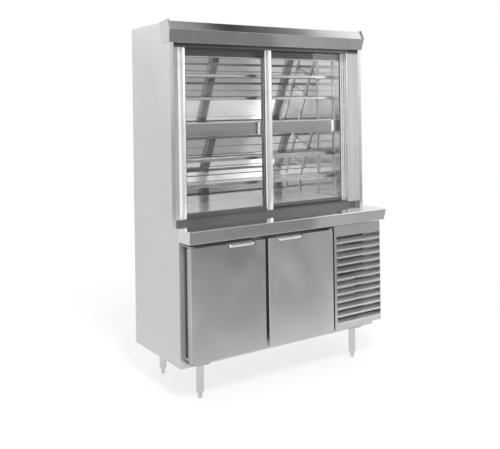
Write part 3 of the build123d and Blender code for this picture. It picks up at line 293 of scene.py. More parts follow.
def makeMirror(values):
    tree, shader = startMaterial("mirrorGlass")
    shader.inputs["Metallic"].default_value = 1.0
    film = useGroup(tree, cloudGroup, Size=values["filmSize"])
    dust = useGroup(tree, speckGroup, Scale=values["dustScale"], Amount=values["dust"])
    level = addMath(tree, "SUBTRACT", values["level"], addMath(tree, "MULTIPLY", dust, values["dustShade"]))
    green = addMath(tree, "MULTIPLY", level, values["greenness"])
    colour = addNode(tree, "CombineColor", {"Red": level, "Green": green, "Blue": level})
    tree.links.new(colour.outputs[0], shader.inputs["Base Color"])
    rough = addRange(tree, film, 0.0, 1.0, values["rough"], values["rough"] * values["filmRough"], False)
    rough = addMath(tree, "ADD", rough, addMath(tree, "MULTIPLY", dust, values["dustRough"]))
    tree.links.new(rough, shader.inputs["Roughness"])


makeMirror(mirrorValues)

# panes: clear glass that lets shadow rays and diffuse rays pass straight through
paneValues = {
    "bend": 1.45, "colour": (0.995, 1.0, 0.998, 1.0), "filmColour": (0.978, 0.985, 0.982, 1.0), "rough": 0.0,
    "dust": 0.04, "dustScale": 55.0, "filmSize": 0.3, "shadow": (0.93, 0.94, 0.935, 1.0),
}


def makePaneGlass(values):
    tree, shader = startMaterial("paneGlass")
    shader.inputs["Metallic"].default_value = 0.0
    shader.inputs["Transmission Weight"].default_value = 1.0
    shader.inputs["IOR"].default_value = values["bend"]
    film = useGroup(tree, cloudGroup, Size=values["filmSize"])
    dust = useGroup(tree, speckGroup, Scale=values["dustScale"], Amount=values["dust"])
    tint = addMix(tree, film, values["colour"], values["filmColour"])
    tree.links.new(tint, shader.inputs["Base Color"])
    tree.links.new(addMath(tree, "ADD", values["rough"], dust), shader.inputs["Roughness"])
    seen = addNode(tree, "LightPath")
    clear = addNode(tree, "BsdfTransparent", {"Color": values["shadow"]})
    passing = addMath(tree, "MAXIMUM", seen.outputs["Is Shadow Ray"], seen.outputs["Is Diffuse Ray"])
    mixed = addNode(tree, "MixShader", {0: passing, 1: shader.outputs["BSDF"], 2: clear.outputs["BSDF"]})
    tree.links.new(mixed.outputs[0], tree.nodes["Material Output"].inputs["Surface"])


makePaneGlass(paneValues)


# paint, plastic, rubber and copper: two clouded tones, stray marks and a fine pebble
def makePlain(name, values):
    tree, shader = startMaterial(name)
    shader.inputs["Metallic"].default_value = values["metal"]
    cloud = useGroup(tree, cloudGroup, Size=values["cloudSize"])
    marks = useGroup(tree, speckGroup, Scale=values["markScale"], Amount=values["marks"])
    tone = addMix(tree, cloud, values["colour"], values["second"])
    tree.links.new(addMix(tree, marks, tone, values["markColour"]), shader.inputs["Base Color"])
    sleek, dull = (values["rough"] * (1 + step * values["glossSwing"]) for step in (-1, 1))
    tree.links.new(addRange(tree, cloud, 0.0, 1.0, sleek, dull, False), shader.inputs["Roughness"])
    pebble = addNode(tree, "TexNoise", {"Scale": values["pebble"], "Detail": 2.0})
    tree.links.new(addNode(tree, "TexCoord").outputs["Object"], pebble.inputs["Vector"])
    finishBump(tree, shader, pebble.outputs["Fac"], values["bump"], values["bumpDepth"])


plainBase = {
    "cloudSize": 0.08, "markScale": 120.0, "marks": 0.3, "glossSwing": 0.15, "pebble": 900.0, "bump": 0.1,
    "bumpDepth": 0.0003, "metal": 0.0,
}
plainKinds = {
    "sealRubber": {"colour": grey(0.045), "second": grey(0.06), "markColour": grey(0.16), "rough": 0.62},
    "blackPaint": {"colour": grey(0.022), "second": grey(0.034), "markColour": grey(0.12), "rough": 0.34},
    "copperTube": {
        "colour": (0.52, 0.24, 0.13, 1.0), "second": (0.4, 0.2, 0.12, 1.0),
        "markColour": (0.2, 0.12, 0.09, 1.0), "metal": 1.0, "rough": 0.33,
    },
    "whitePlastic": {"colour": grey(0.76), "second": grey(0.7), "markColour": grey(0.4), "rough": 0.3},
    "greyPlastic": {"colour": grey(0.24), "second": grey(0.28), "markColour": grey(0.45), "rough": 0.48},
    "blackPlastic": {"colour": grey(0.028), "second": grey(0.04), "markColour": grey(0.2), "rough": 0.3},
}
for kind, changes in plainKinds.items():
    makePlain(kind, {**plainBase, **changes})

# lamp: powdered glass that glows, and that fades to grey at both ends
lampValues = {
    "colour": grey(0.85), "second": grey(0.8), "endColour": grey(0.35), "glow": grey(0.9), "rough": 0.18,
    "powderSize": 0.05, "strength": 2.4, "darkFrom": 0.49, "darkTo": 0.525,
}


def makeLampGlass(values):
    tree, shader = startMaterial("lampGlass")
    place = addNode(tree, "TexCoord").outputs["Object"]
    along = addNode(tree, "SeparateXYZ", {0: place}).outputs["X"]
    end = addRange(tree, addMath(tree, "ABSOLUTE", along), values["darkFrom"], values["darkTo"])
    powder = useGroup(tree, cloudGroup, Size=values["powderSize"])
    glass = addMix(tree, powder, values["colour"], values["second"])
    tree.links.new(addMix(tree, end, glass, values["endColour"]), shader.inputs["Base Color"])
    glow = addMix(tree, end, values["glow"], grey(0.0))
    tree.links.new(glow, shader.inputs["Emission Color"])
    shader.inputs["Emission Strength"].default_value = values["strength"]
    shader.inputs["Roughness"].default_value = values["rough"]


makeLampGlass(lampValues)
print("materials made:", len(bpy.data.materials))

finishes = {
    "sideSteel": [
        "base_side_left", "base_side_right", "base_back", "base_floor", "base_top_panel", "case_roof",
    ],
    "caseSteel": ["case_side_left", "case_side_right"],
    "backSteel": ["case_back"],
    "shadedLeftDoorSteel": ["door_left_shell"],
    "rightDoorSteel": ["door_right_shell"],
    "frontSteel": ["door_frame_rails", "door_frame_posts", "compartment_divider", "hinge_brackets"],
    "hoodSteel": ["hood_fascia", "hood_ends"],
    "ledgeSteel": ["service_ledge"],
    "channelMetal": ["door_channels"],
    "innerSteel": ["evaporator_housing"],
    "deckSteel": ["display_deck"],
    "grilleSteel": ["grille_frame"],
    "bladeSteel": ["grille_blades"],
    "legSteel": ["legs", "foot_front_left", "foot_front_right", "foot_rear_left", "foot_rear_right"],
    "chromeWire": ["display_shelves", "cupboard_shelves", "door_left_pull", "door_right_pull"],
    "zincSteel": ["unit_tray", "machine_rear_panel", "fan_shroud"],
    "frameMetal": ["slider_left_frame", "slider_right_frame"],
    "shadedTrackMetal": ["top_track", "bottom_track"],
    "finMetal": ["evaporator_coil", "condenser_coil", "condenser_fan", "shelf_standards"],
    "linerMetal": ["door_left_liner", "door_right_liner"],
    "mirrorGlass": ["mirrors"],
    "paneGlass": ["slider_left_glass", "slider_right_glass"],
    "lampGlass": ["lamp_tube"],
    "sealRubber": ["door_left_gasket", "door_right_gasket"],
    "blackPaint": ["compressor", "condenser_fan_motor", "lamp_valance", "filter_drier"],
    "copperTube": ["refrigerant_lines"],
    "whitePlastic": ["lamp_holders"],
    "greyPlastic": ["control_box"],
    "blackPlastic": ["thermostat_knob", "lamp_rocker"],
}
for finish, members in finishes.items():
    for member in members:
        piece = cadNodes[member]
        if not piece.material_slots:
            piece.data.materials.append(None)
        for held in piece.material_slots:
            held.material = bpy.data.materials[finish]
print("finishes set")


# small helpers for surfaces: a part is its points, its quads and its end caps
def gridQuads(rows, columns, closedRows=False):
    # every grid cell becomes one face; the columns always close round, and the rows only where asked
    down, across = np.meshgrid(np.arange(rows if closedRows else rows - 1), np.arange(columns), indexing="ij")
    below, beside = (down + 1) % rows, (across + 1) % columns
    here, under = down * columns, below * columns
    corners = (here + across, here + beside, under + beside, under + across)
    return np.stack(corners, axis=-1).reshape(-1, 4)


def signedVolume(points, quads, caps):
    # the volume is a sixth of the sum of every triangle's triple product
    total = 0.0
    for corners in [quads] + [cap[None, :] for cap in caps]:
        first = points[corners[:, 0]]
        for step in range(1, corners.shape[1] - 1):
            second, third = points[corners[:, step]], points[corners[:, step + 1]]
            total += np.einsum("ij,ij->", first, np.cross(second, third))
    return total / 6


def closePart(grid, closedRows=False):
    # a grid of rings becomes a closed skin, with a flat cap on the first and the last ring, facing outwards
    rows, columns = grid.shape[:2]
    points = grid.reshape(-1, 3)
    quads = gridQuads(rows, columns, closedRows)
    ring = np.arange(columns)
    caps = [] if closedRows else [ring[::-1], ring + (rows - 1) * columns]
    if signedVolume(points - points.mean(axis=0), quads, caps) < 0:
        quads, caps = quads[:, ::-1], [cap[::-1] for cap in caps]
    return points, quads, caps


def carryProfile(profile, origins, across, upward):
    # each point is the station's origin, plus the profile's two numbers along two fixed directions
    profile, origins = np.asarray(profile, float), np.asarray(origins, float)
    flat = profile[:, :1] * np.asarray(across, float) + profile[:, 1:] * np.asarray(upward, float)
    return closePart(origins[:, None, :] + flat[None, :, :])


def turnProfile(profile, origin, axis, sides):
    # a radius and a height for each ring, turned about an axis in equal steps
    profile, axis = np.asarray(profile, float), np.asarray(axis, float)
    first = np.cross(axis, (0.0, 0.0, 1.0) if abs(axis[2]) < 0.9 else (1.0, 0.0, 0.0))
    first /= np.linalg.norm(first)
    turns = np.linspace(0, 2 * np.pi, sides, endpoint=False)
    spokes = np.cos(turns)[:, None] * first + np.sin(turns)[:, None] * np.cross(axis, first)
    return closePart(np.asarray(origin) + profile[:, :1, None] * spokes[None] + profile[:, 1:, None] * axis)


def makeRod(start, end, radius, sides=8):
    # a circle carried from one end to the other
    start, end = np.asarray(start, float), np.asarray(end, float)
    length = np.linalg.norm(end - start)
    return turnProfile([(radius, 0.0), (radius, length)], start, (end - start) / length, sides)


def repeatPart(part, shifts):
    # the same part moved by each shift, as one larger part
    points, quads, caps = part
    shifts = np.asarray(shifts, float)
    moved = (points[None] + shifts[:, None, :]).reshape(-1, 3)
    steps = np.arange(len(shifts)) * len(points)
    allQuads = (quads[None] + steps[:, None, None]).reshape(-1, 4)
    return moved, allQuads, [cap + step for step in steps for cap in caps]


def roundCorners(points, radii, steps, flatKeep=0.0012):
    # each corner gives way to an arc that touches both of its sides, and the ends stay; one more point
    # on each side of the arc keeps the flats flat when they are shaded
    points = [np.asarray(point, float) for point in points]
    made = [points[0]]
    for before, here, after, radius in zip(points, points[1:], points[2:], radii):
        back, ahead = ((other - here) / np.linalg.norm(other - here) for other in (before, after))
        half = math.acos(max(-1.0, min(1.0, float(back @ ahead)))) / 2
        reach = radius / math.tan(half)
        middle = here + (back + ahead) / np.linalg.norm(back + ahead) * (radius / math.sin(half))
        first, last = here + back * reach - middle, here + ahead * reach - middle
        share = np.linspace(0, 1, steps + 1)[:, None]
        span = math.pi - 2 * half
        arc = (np.sin((1 - share) * span) * first + np.sin(share * span) * last) / math.sin(span)
        keep = min(flatKeep, 0.4 * radius)
        made.append(here + back * (reach + keep))
        made.extend(middle + arc)
        made.append(here + ahead * (reach + keep))
    made.append(points[-1])
    return np.array(made)


def thickenLine(line, thickness):
    # the line and a copy moved sideways by the sheet's thickness, which turns it into a closed outline
    run = np.gradient(line, axis=0)
    normal = np.stack([-run[:, 1], run[:, 0]], axis=1)
    normal /= np.linalg.norm(normal, axis=1)[:, None]
    return np.vstack([line, (line + normal * thickness)[::-1]])


def makePiece(name, parts, finish, body, replaced=(), sharpFrom=32.0):
    points, faces, offset = [], [], 0
    for partPoints, quads, caps in parts:
        points.append(partPoints)
        faces.extend((quads + offset).tolist())
        faces.extend([(cap + offset).tolist() for cap in caps])
        offset += len(partPoints)
    mesh = bpy.data.meshes.new(name)
    mesh.from_pydata(np.vstack(points).tolist(), [], faces)
    mesh.materials.append(bpy.data.materials[finish])
    mesh.polygons.foreach_set("use_smooth", np.ones(len(mesh.polygons), dtype=bool))
    mesh.set_sharp_from_angle(angle=math.radians(sharpFrom))
    made = bpy.data.objects.new(name, mesh)
    bpy.context.scene.collection.objects.link(made)
    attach(made, body)
    if replaced:
        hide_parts(*replaced)


def boxOf(node):
    low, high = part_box(node)
    return np.array(low), np.array(high)


# sliding doors: bowed stiles, grooved rails and a rubber bead round each pane
sliderValues = {
    "bow": 0.0052, "bowPoints": 13, "rearFrom": -0.07,
    "stiles": {"left": (0.042, 0.045), "right": (0.045, 0.042)},
    "gripInset": 0.006, "gripWidth": 0.006, "gripDepth": 0.005,
    "railHeight": 0.023, "topRail": 0.008, "railSetback": 0.0012, "railOverlap": 0.0005,
    "grooveFoot": 0.009, "grooveHead": 0.0115, "grooveSlope": 0.0005, "grooveDepth": 0.0016,
    "crownEdge": 0.002, "bead": 0.0032, "beadBelly": (0.7, 0.75),
}


def stileProfile(low, high, frontY, backY, values, gripAt=None):
    # the front is a parabola that is nearest in the middle, and the back is flat
    share = np.linspace(0, 1, values["bowPoints"])
    across = low + (high - low) * share
    front = np.stack([across, frontY + values["bow"] * (2 * share - 1) ** 2], axis=1)
    if gripAt is not None:
        # the grip is a square groove, let in where the bowed face crosses its two sides
        gripEnd = gripAt + values["gripWidth"]
        edge = np.interp([gripAt, gripEnd], across, front[:, 1])
        floorY = frontY + values["bow"] + values["gripDepth"]
        groove = [(gripAt, edge[0]), (gripAt, floorY), (gripEnd, floorY), (gripEnd, edge[1])]
        front = np.vstack([front[across < gripAt], groove, front[across > gripEnd]])
    return np.vstack([front, [(high, backY), (low, backY)]])


def makeSlider(side, values):
    frameName, named, body = f"slider_{side}_frame", f"slider{side.title()}", f"slider_{side}"
    low, high = boxOf(frameName)
    leftWidth, rightWidth = values["stiles"][side]
    gripAt = high[0] - rightWidth + values["gripInset"]
    # the stile behind the other door's goes with the rails, whose metal is darkened as painted shade
    bright, shaded = [], []
    for start, end, grip, meets in ((low[0], low[0] + leftWidth, None, side == "right"),
                                    (high[0] - rightWidth, high[0], gripAt, side == "left")):
        profile = stileProfile(start, end, low[1], high[1], values, grip)
        part = carryProfile(profile, [(0, 0, low[2]), (0, 0, high[2])], (1, 0, 0), (0, 1, 0))
        (shaded if meets and low[1] > values["rearFrom"] else bright).append(part)
    makePiece(named + "Stiles", bright, "frameMetal", body, (frameName,))
    # rails: an outline with one shallow groove along the bottom one, and a plain bar for the top one
    inner = (low[0] + leftWidth - values["railOverlap"], high[0] - rightWidth + values["railOverlap"])
    rail, back = low[1] + values["railSetback"], high[1] - values["railSetback"]
    foot, crown, head = low[2], low[2] + values["railHeight"], high[2] - values["topRail"]
    grooveFoot, grooveHead = foot + values["grooveFoot"], foot + values["grooveHead"]
    grooveY, slope, edge = rail + values["grooveDepth"], values["grooveSlope"], values["crownEdge"]
    bottom = [(rail, foot), (rail, grooveFoot), (grooveY, grooveFoot + slope), (grooveY, grooveHead - slope),
              (rail, grooveHead), (rail, crown - edge), (rail + edge, crown), (back, crown), (back, foot)]
    top = [(rail, head), (rail, high[2]), (back, high[2]), (back, head)]
    for outline in (bottom, top):
        shaded.append(carryProfile(outline, [(inner[0], 0, 0), (inner[1], 0, 0)], (0, 1, 0), (0, 0, 1)))
    makePiece(named + "Rails", shaded, "shadedRailMetal", body, (frameName,))
    # beads: a rounded quarter carried along the four sides of the pane, on both faces
    glassLow, glassHigh = boxOf(f"slider_{side}_glass")
    size, belly = values["bead"], values["beadBelly"]
    quarter = [(0, 0), (size, 0), (size * belly[0], size * belly[1]), (0, size)]
    beads = []
    for face, out in ((glassLow[1], -1), (glassHigh[1], 1)):
        for start, inward in ((inner[0], 1), (inner[1], -1)):
            ends = [(start, face, crown), (start, face, head)]
            beads.append(carryProfile(quarter, ends, (inward, 0, 0), (0, out, 0)))
        for start, inward in ((crown, 1), (head, -1)):
            ends = [(inner[0], face, start), (inner[1], face, start)]
            beads.append(carryProfile(quarter, ends, (0, 0, inward), (0, out, 0)))
    makePiece(named + "Bead", beads, "sealRubber", body)


makeSlider("left", sliderValues)
makeSlider("right", sliderValues)
print("sliding doors dressed")

# wire shelves: a front band between two rods, side and rear rods, and wires that run front to back
shelfBase = {
    "halfHeight": 0.008, "rod": 0.003, "edge": 0.0024, "band": (0.0012, 0.00264), "rodSides": 10,
    "wireSides": 6,
}
shelfKinds = {
    "display": {"wires": 56, "wire": 0.0011, "heights": (0.996, 1.127, 1.447, 1.567)},
    "cupboard": {"wires": 34, "wire": 0.0014, "heights": None},
}


def makeShelves(section, values):
    low, high = boxOf(section + "_shelves")
    # without heights of its own, the section has one shelf at the foot of its box and one at the head
    heights = values["heights"] or (low[2] + values["halfHeight"], high[2] - values["halfHeight"])
    rod, wireSize, sides = values["rod"], values["wire"], values["rodSides"]
    front, frontRod, back = low[1], low[1] + values["edge"], high[1] - rod
    bandZ = values["halfHeight"] - values["edge"]
    bandNear, bandFar = values["band"]
    band = [(bandNear, -bandZ), (bandNear, bandZ), (bandFar, bandZ), (bandFar, -bandZ)]
    spots = (np.arange(values["wires"]) + 1) * (high[0] - low[0]) / (values["wires"] + 1)
    parts = []
    for height in heights:
        for rodZ in (height - bandZ, height + bandZ):
            parts.append(makeRod((low[0], frontRod, rodZ), (high[0], frontRod, rodZ), values["edge"], sides))
        ends = [(low[0], front, height), (high[0], front, height)]
        parts.append(carryProfile(band, ends, (0, 1, 0), (0, 0, 1)))
        for rodY, rodZ in ((back, height), ((front + high[1]) / 2, height - rod - wireSize)):
            parts.append(makeRod((low[0], rodY, rodZ), (high[0], rodY, rodZ), rod, sides))
        for rodX in (low[0] + rod, high[0] - rod):
            parts.append(makeRod((rodX, frontRod, height), (rodX, back, height), rod, sides))
        wire = makeRod((low[0], frontRod, height), (low[0], back, height), wireSize, values["wireSides"])
        parts.append(repeatPart(wire, np.stack([spots, 0 * spots, 0 * spots], axis=1)))
    makePiece(section + "WireShelves", parts, "chromeWire", "cabinet", (section + "_shelves",))


for section, changes in shelfKinds.items():
    makeShelves(section, {**shelfBase, **changes})
print("wire shelves made")

# service ledge: the same sheet as the frame's, with its long bends rounded
ledgeValues = {
    "radii": (0.0035, 0.0025, 0.001, 0.001), "bendSteps": 5, "lean": 0.0138, "sheet": 0.002, "wallY": -0.1878,
    "jambY": -0.1251, "halfBody": 0.6095, "halfTongue": 0.5895, "flareLow": 0.0011, "flareHigh": 0.0053,
}


def makeLedge(values):
    low, high = boxOf("service_ledge")
    wallY, jambY = values["wallY"], values["jambY"]
    upper, under = high[2], high[2] - values["sheet"]
    outline = [(jambY, upper), (low[1], upper), (low[1] + values["lean"], low[2]), (wallY, low[2]),
               (wallY, under), (jambY, under)]
    line = roundCorners(outline, values["radii"], values["bendSteps"])
    # the end of each profile point moves outwards with its height, as the flared ends do
    share = (line[:, 1] - low[2]) / (high[2] - low[2])
    reach = values["halfBody"] + values["flareLow"] + (values["flareHigh"] - values["flareLow"]) * share
    ends = [np.stack([side * reach, line[:, 0], line[:, 1]], axis=1) for side in (-1, 1)]
    parts = [closePart(np.stack(ends))]
    # the tongue is a flat bar that runs back between the jambs
    tongue = [(jambY, under), (jambY, upper), (high[1], upper), (high[1], under)]
    ends = [(-values["halfTongue"], 0, 0), (values["halfTongue"], 0, 0)]
    parts.append(carryProfile(tongue, ends, (0, 1, 0), (0, 0, 1)))
    makePiece("ledgeSheet", parts, "ledgeSteel", "cabinet", ("service_ledge",))


makeLedge(ledgeValues)

# hood fascia: a folded line with rounded bends, thickened to a sheet and carried between the end plates
hoodValues = {
    "radii": (0.003, 0.003, 0.0021), "bendSteps": 5, "edgeDrop": 0.0407, "edgeBack": 0.0217,
    "footBack": 0.0159, "return": 0.012, "sheet": 0.0015, "endGap": 0.0001,
}


def makeHood(values):
    low, high = boxOf("hood_fascia")
    edgeY, footY = low[1] + values["edgeBack"], low[1] + values["footBack"]
    outline = [(high[1], high[2]), (edgeY, high[2]), (low[1], high[2] - values["edgeDrop"]), (footY, low[2]),
               (footY + values["return"], low[2])]
    line = roundCorners(outline, values["radii"], values["bendSteps"])
    sheet = thickenLine(line, values["sheet"])
    ends = [(low[0] + values["endGap"], 0, 0), (high[0] - values["endGap"], 0, 0)]
    parts = [carryProfile(sheet, ends, (0, 1, 0), (0, 0, 1))]
    makePiece("hoodSheet", parts, "hoodSteel", "cabinet", ("hood_fascia",))


makeHood(hoodValues)
print("ledge and hood folded")


def roundedPlan(centre, halfSize, corner, inset, around, leastRadius=0.0008):
    # four quarter circles at the corners of a rectangle, all drawn in by the inset
    radius = max(corner - inset, leastRadius)
    turns = (np.arange(4)[:, None] + np.linspace(0, 1, around)[None, :]) * (math.pi / 2)
    signs = np.array([(1, 1), (-1, 1), (-1, -1), (1, -1)], float)
    reach = halfSize - inset - radius
    x = centre[0] + signs[:, :1] * reach[0] + radius * np.cos(turns)
    y = centre[1] + signs[:, 1:] * reach[1] + radius * np.sin(turns)
    return x.ravel(), y.ravel()


# roof plates: they lie over the tops of the two stepped jambs, behind the hood
plateValues = {
    "across": (0.5415, 0.5975), "along": (-0.0748, -0.0165), "foot": 1.8191, "thick": 0.001, "edge": 0.0004,
    "corner": 0.006, "around": 6,
}


def makeRoofPlates(values):
    # a rounded rectangle at three heights, the top one drawn in by the edge's break
    (nearX, farX), (nearY, farY) = values["across"], values["along"]
    halfSize = np.array([farX - nearX, farY - nearY]) / 2
    rings = ((0.0, 0.0), (0.0, values["thick"] - values["edge"]), (values["edge"], values["thick"]))
    parts = []
    for side in (-1, 1):
        centre = (side * (nearX + farX) / 2, (nearY + farY) / 2)
        grid = []
        for inset, lift in rings:
            x, y = roundedPlan(centre, halfSize, values["corner"], inset, values["around"])
            grid.append(np.stack([x, y, np.full(x.size, values["foot"] + lift)], axis=1))
        parts.append(closePart(np.array(grid)))
    makePiece("roofPlates", parts, "sideSteel", "cabinet")


makeRoofPlates(plateValues)

# door pulls: a cup with a rolled lip, made of rounded rectangles, each drawn in by its inset and set at a
# height: over the foot in metres outside and inside, and under the top in parts of the lip's size at the lip
pullValues = {
    "corner": 0.0125, "around": 10, "lean": 0.006, "lip": 0.0036,
    "outside": ((0.011, 0.0), (0.005, 0.0), (0.0022, 0.0008), (0.0014, 0.003)),
    "lipRings": ((0.0014, 1.9), (0.0006, 1.5), (0.0, 1.0), (0.0006, 0.3), (0.0022, 0.0), (0.0038, 0.3),
                 (0.0044, 1.0), (0.0034, 1.9)),
    "inside": ((0.0034, 0.005), (0.006, 0.0024), (0.011, 0.0022)),
    "sharpFrom": 60.0,
}


def makePull(side, values):
    low, high = boxOf(f"door_{side}_pull")
    centre, halfSize = (low + high) / 2, (high - low) / 2
    height, lip = high[2] - low[2], values["lip"]
    atLip = [(inset, height - down * lip) for inset, down in values["lipRings"]]
    front = np.repeat([0.0, 0.0, 1.0, 1.0], values["around"])  # the second half of the plan faces forwards
    grid = []
    for inset, lift in (*values["outside"], *atLip, *values["inside"]):
        x, y = roundedPlan(centre, halfSize[:2], values["corner"], inset, values["around"])
        y = y + front * values["lean"] * max(0.0, 1 - lift / (height - lip))  # the foot leans back
        grid.append(np.stack([x, y, np.full(x.size, low[2] + lift)], axis=1))
    parts = [closePart(np.array(grid))]
    makePiece(f"door{side.title()}Cup", parts, "pullChrome", f"door_{side}",
              (f"door_{side}_pull",), values["sharpFrom"])


makePull("left", pullValues)
makePull("right", pullValues)
print("pulls made")

# screws: low domed heads with a socket, wherever sheets are fixed; the profile is in parts of the radius
# and of the height
screwValues = {
    "radius": 0.0034, "height": 0.0016, "flatHeight": 0.0007, "sides": 12,
    "profile": ((1.0, 0.0), (1.0, 0.35), (0.86, 0.72), (0.5, 1.0), (0.2, 1.0), (0.2, 0.45)),
    "grilleIn": 0.008, "grilleUp": 0.03, "grilleDown": 0.02,
    "plate": ((0.546, -0.021, 1.8201), (0.593, -0.021, 1.8201), (0.593, -0.069, 1.8201)),
    "hood": ((0.6095, -0.018, 1.723), (0.615, -0.085, 1.7225), (0.6197, -0.13, 1.772)),
}


def makeScrew(spot, axis, height, values):
    # six rings of the profile, turned about the screw's axis
    return turnProfile(np.array(values["profile"]) * (values["radius"], height), spot, axis, values["sides"])


def makeScrews(values):
    low, high = boxOf("grille_frame")
    domed = [((low[0] + values["grilleIn"], low[1], height), (0, -1, 0))
             for height in (low[2] + values["grilleUp"], high[2] - values["grilleDown"])]
    flat = [((side * x, y, z), (side, 0, 0)) for side in (-1, 1) for x, y, z in values["hood"]]
    flat += [((side * x, y, z), (0, 0, 1)) for side in (-1, 1) for x, y, z in values["plate"]]
    parts = [makeScrew(spot, axis, values["height"], values) for spot, axis in domed]
    parts += [makeScrew(spot, axis, values["flatHeight"], values) for spot, axis in flat]
    makePiece("panelScrews", parts, "legSteel", "cabinet")


makeScrews(screwValues)
print("screws set")

# a bright hem on the foot of the dark valance, its outline in parts of its size
hemValues = {"size": 0.004, "outline": ((-1.0, 0.0), (-0.8, 0.8), (-0.1, 1.0), (-0.1, 0.0))}


def makeHem(values):
    # the outline is carried along the foot of the valance
    low, high = boxOf("lamp_valance")
    ends = [(low[0], low[1], low[2]), (high[0], low[1], low[2])]
    parts = [carryProfile(np.array(values["outline"]) * values["size"], ends, (0, 1, 0), (0, 0, 1))]
    makePiece("valanceHem", parts, "brightHem", "cabinet")


makeHem(hemValues)

# on the face of the coil housing: two cover strips whose pale tone is partly a painted highlight, and a dark
# block at its right end that is painted shade
stripValues = {"proud": 0.0014, "foot": 0.001, "headGap": 0.0026}
stripKinds = {
    "housingHighlightStrips": {"finish": "highlightCoverStrip", "spans": ((-0.04, -0.024), (0.468, 0.487))},
    "housingShadeBlock": {"finish": "shadedRailMetal", "spans": ((0.49, 0.541),)},
}


def makeStrips(name, values):
    # each outline has both front edges cut at 45 degrees, and is carried up the housing's face
    low, high = boxOf("evaporator_housing")
    proud = values["proud"]
    ends = [(0, low[1], low[2] + values["foot"]), (0, low[1], high[2] - values["headGap"])]
    parts = []
    for start, end in values["spans"]:
        outline = [(start, 0.0), (start + proud, -proud), (end - proud, -proud), (end, 0.0)]
        parts.append(carryProfile(outline, ends, (1, 0, 0), (0, 1, 0)))
    makePiece(name, parts, values["finish"], "cabinet")


for name, changes in stripKinds.items():
    makeStrips(name, {**stripValues, **changes})

# the housing's lid: a thin plate that lies on it, and whose front edge turns down over its face
lidValues = {"thick": 0.001, "lip": 0.0022, "bend": 0.0009, "bendSteps": 4, "backGap": 0.001, "endGap": 0.002}


def makeLid(values):
    # the upper line has one rounded bend, the underside follows the housing, and both are carried along it
    low, high = boxOf("evaporator_housing")
    thick, backEdge, foot = values["thick"], high[1] - values["backGap"], high[2] - values["lip"]
    outline = [(backEdge, high[2] + thick), (low[1] - thick, high[2] + thick), (low[1] - thick, foot)]
    line = roundCorners(outline, [values["bend"]], values["bendSteps"])
    sheet = np.vstack([line, [(low[1], foot), (low[1], high[2]), (backEdge, high[2])]])
    ends = [(low[0] + values["endGap"], 0, 0), (high[0] - values["endGap"], 0, 0)]
    parts = [carryProfile(sheet, ends, (0, 1, 0), (0, 0, 1))]
    makePiece("housingLid", parts, "lidSteel", "cabinet")


makeLid(lidValues)
print("trim made")

# studio: a white room with a bright ceiling, a grey wall to the front right and a floor that darkens in front
studio = {
    "white": grey(1.0), "bright": grey(0.97), "wallHead": (4.0, 14.0),
    "wall": [(-12.0, 1.02), (4.0, 0.2), (33.0, 0.22), (46.0, 0.4), (95.0, 0.4), (125.0, 1.02)],
    "ceiling": [(0.0, 0.95), (30.0, 0.9), (44.0, 0.62), (50.8, 0.5), (52.2, 0.4), (53.2, 0.1),
                (54.2, 0.05), (56.0, 0.11), (58.0, 0.25), (60.4, 0.35), (60.9, 0.55), (61.5, 1.15),
                (64.0, 1.4), (70.0, 1.2), (90.0, 0.95)],
    "ceilingFrom": (28.0, 38.0), "ceilingLeft": (0.0, 5.0), "ceilingRight": (90.0, 85.0),
    "key": {"place": (-1.5, -3.7, 4.5), "aim": (0.0, -0.1, 1.2), "size": 0.9, "power": 190.0},
    "fill": {"place": (3.6, -2.4, 2.6), "aim": (0.0, 0.0, 0.9), "size": 2.4, "power": 30.0},
    "side": {"place": (-1.8, 2.4, 2.7), "aim": (-0.6, 0.3, 1.5), "size": 0.8, "power": 4.0},
}


def addRamp(tree, value, stops):
    # the value's place between the first and the last stop picks a grey from the stops
    low, high = stops[0][0], stops[-1][0]
    share = addMath(tree, "DIVIDE", addMath(tree, "SUBTRACT", value, low), high - low)
    ramp = addNode(tree, "ValToRGB", {"Fac": share})
    elements = ramp.color_ramp.elements
    while len(elements) < len(stops):
        elements.new(0.5)
    for element, (place, level) in zip(elements, stops):
        element.position = (place - low) / (high - low)
        element.color = grey(level)
    return ramp.outputs["Color"]


def makeWorld(values):
    # the wall and the ceiling change with the turn about the upright axis, and meet at a soft edge
    world = bpy.data.worlds.new("studioWorld")
    bpy.context.scene.world = world
    world.use_nodes = True
    tree = world.node_tree
    back = tree.nodes["Background"]
    direction = addNode(tree, "SeparateXYZ", {0: addNode(tree, "TexCoord").outputs["Generated"]})
    across, along, upward = (direction.outputs[axis] for axis in "XYZ")
    turn = addMath(tree, "ARCTAN2", across, addMath(tree, "MULTIPLY", along, -1.0))
    turn = addMath(tree, "MULTIPLY", turn, 180 / math.pi)
    lift = addMath(tree, "MULTIPLY", addMath(tree, "ARCSINE", upward), 180 / math.pi)
    lowPart = addRange(tree, lift, values["wallHead"][1], values["wallHead"][0])
    tone = addMix(tree, lowPart, values["bright"], addRamp(tree, turn, values["wall"]))
    overhead = addRange(tree, lift, *values["ceilingFrom"])
    sides = (addRange(tree, turn, *values[key]) for key in ("ceilingLeft", "ceilingRight"))
    inFront = addMath(tree, "MULTIPLY", *sides)
    lamps = addRamp(tree, turn, values["ceiling"])
    tone = addMix(tree, addMath(tree, "MULTIPLY", overhead, inFront), tone, lamps)
    seen = addNode(tree, "LightPath")
    clear = addMath(tree, "MAXIMUM", seen.outputs["Is Camera Ray"], seen.outputs["Is Transmission Ray"])
    tree.links.new(addMix(tree, clear, tone, values["white"]), back.inputs["Color"])
    back.inputs["Strength"].default_value = 1.0


def makeLamp(name, values):
    data = bpy.data.lights.new(name, "AREA")
    data.size = values["size"]
    data.energy = values["power"]
    lamp = bpy.data.objects.new(name, data)
    lamp.location = values["place"]
    toward = Vector(values["aim"]) - Vector(values["place"])
    lamp.rotation_euler = toward.to_track_quat("-Z", "Y").to_euler()
    bpy.context.scene.collection.objects.link(lamp)


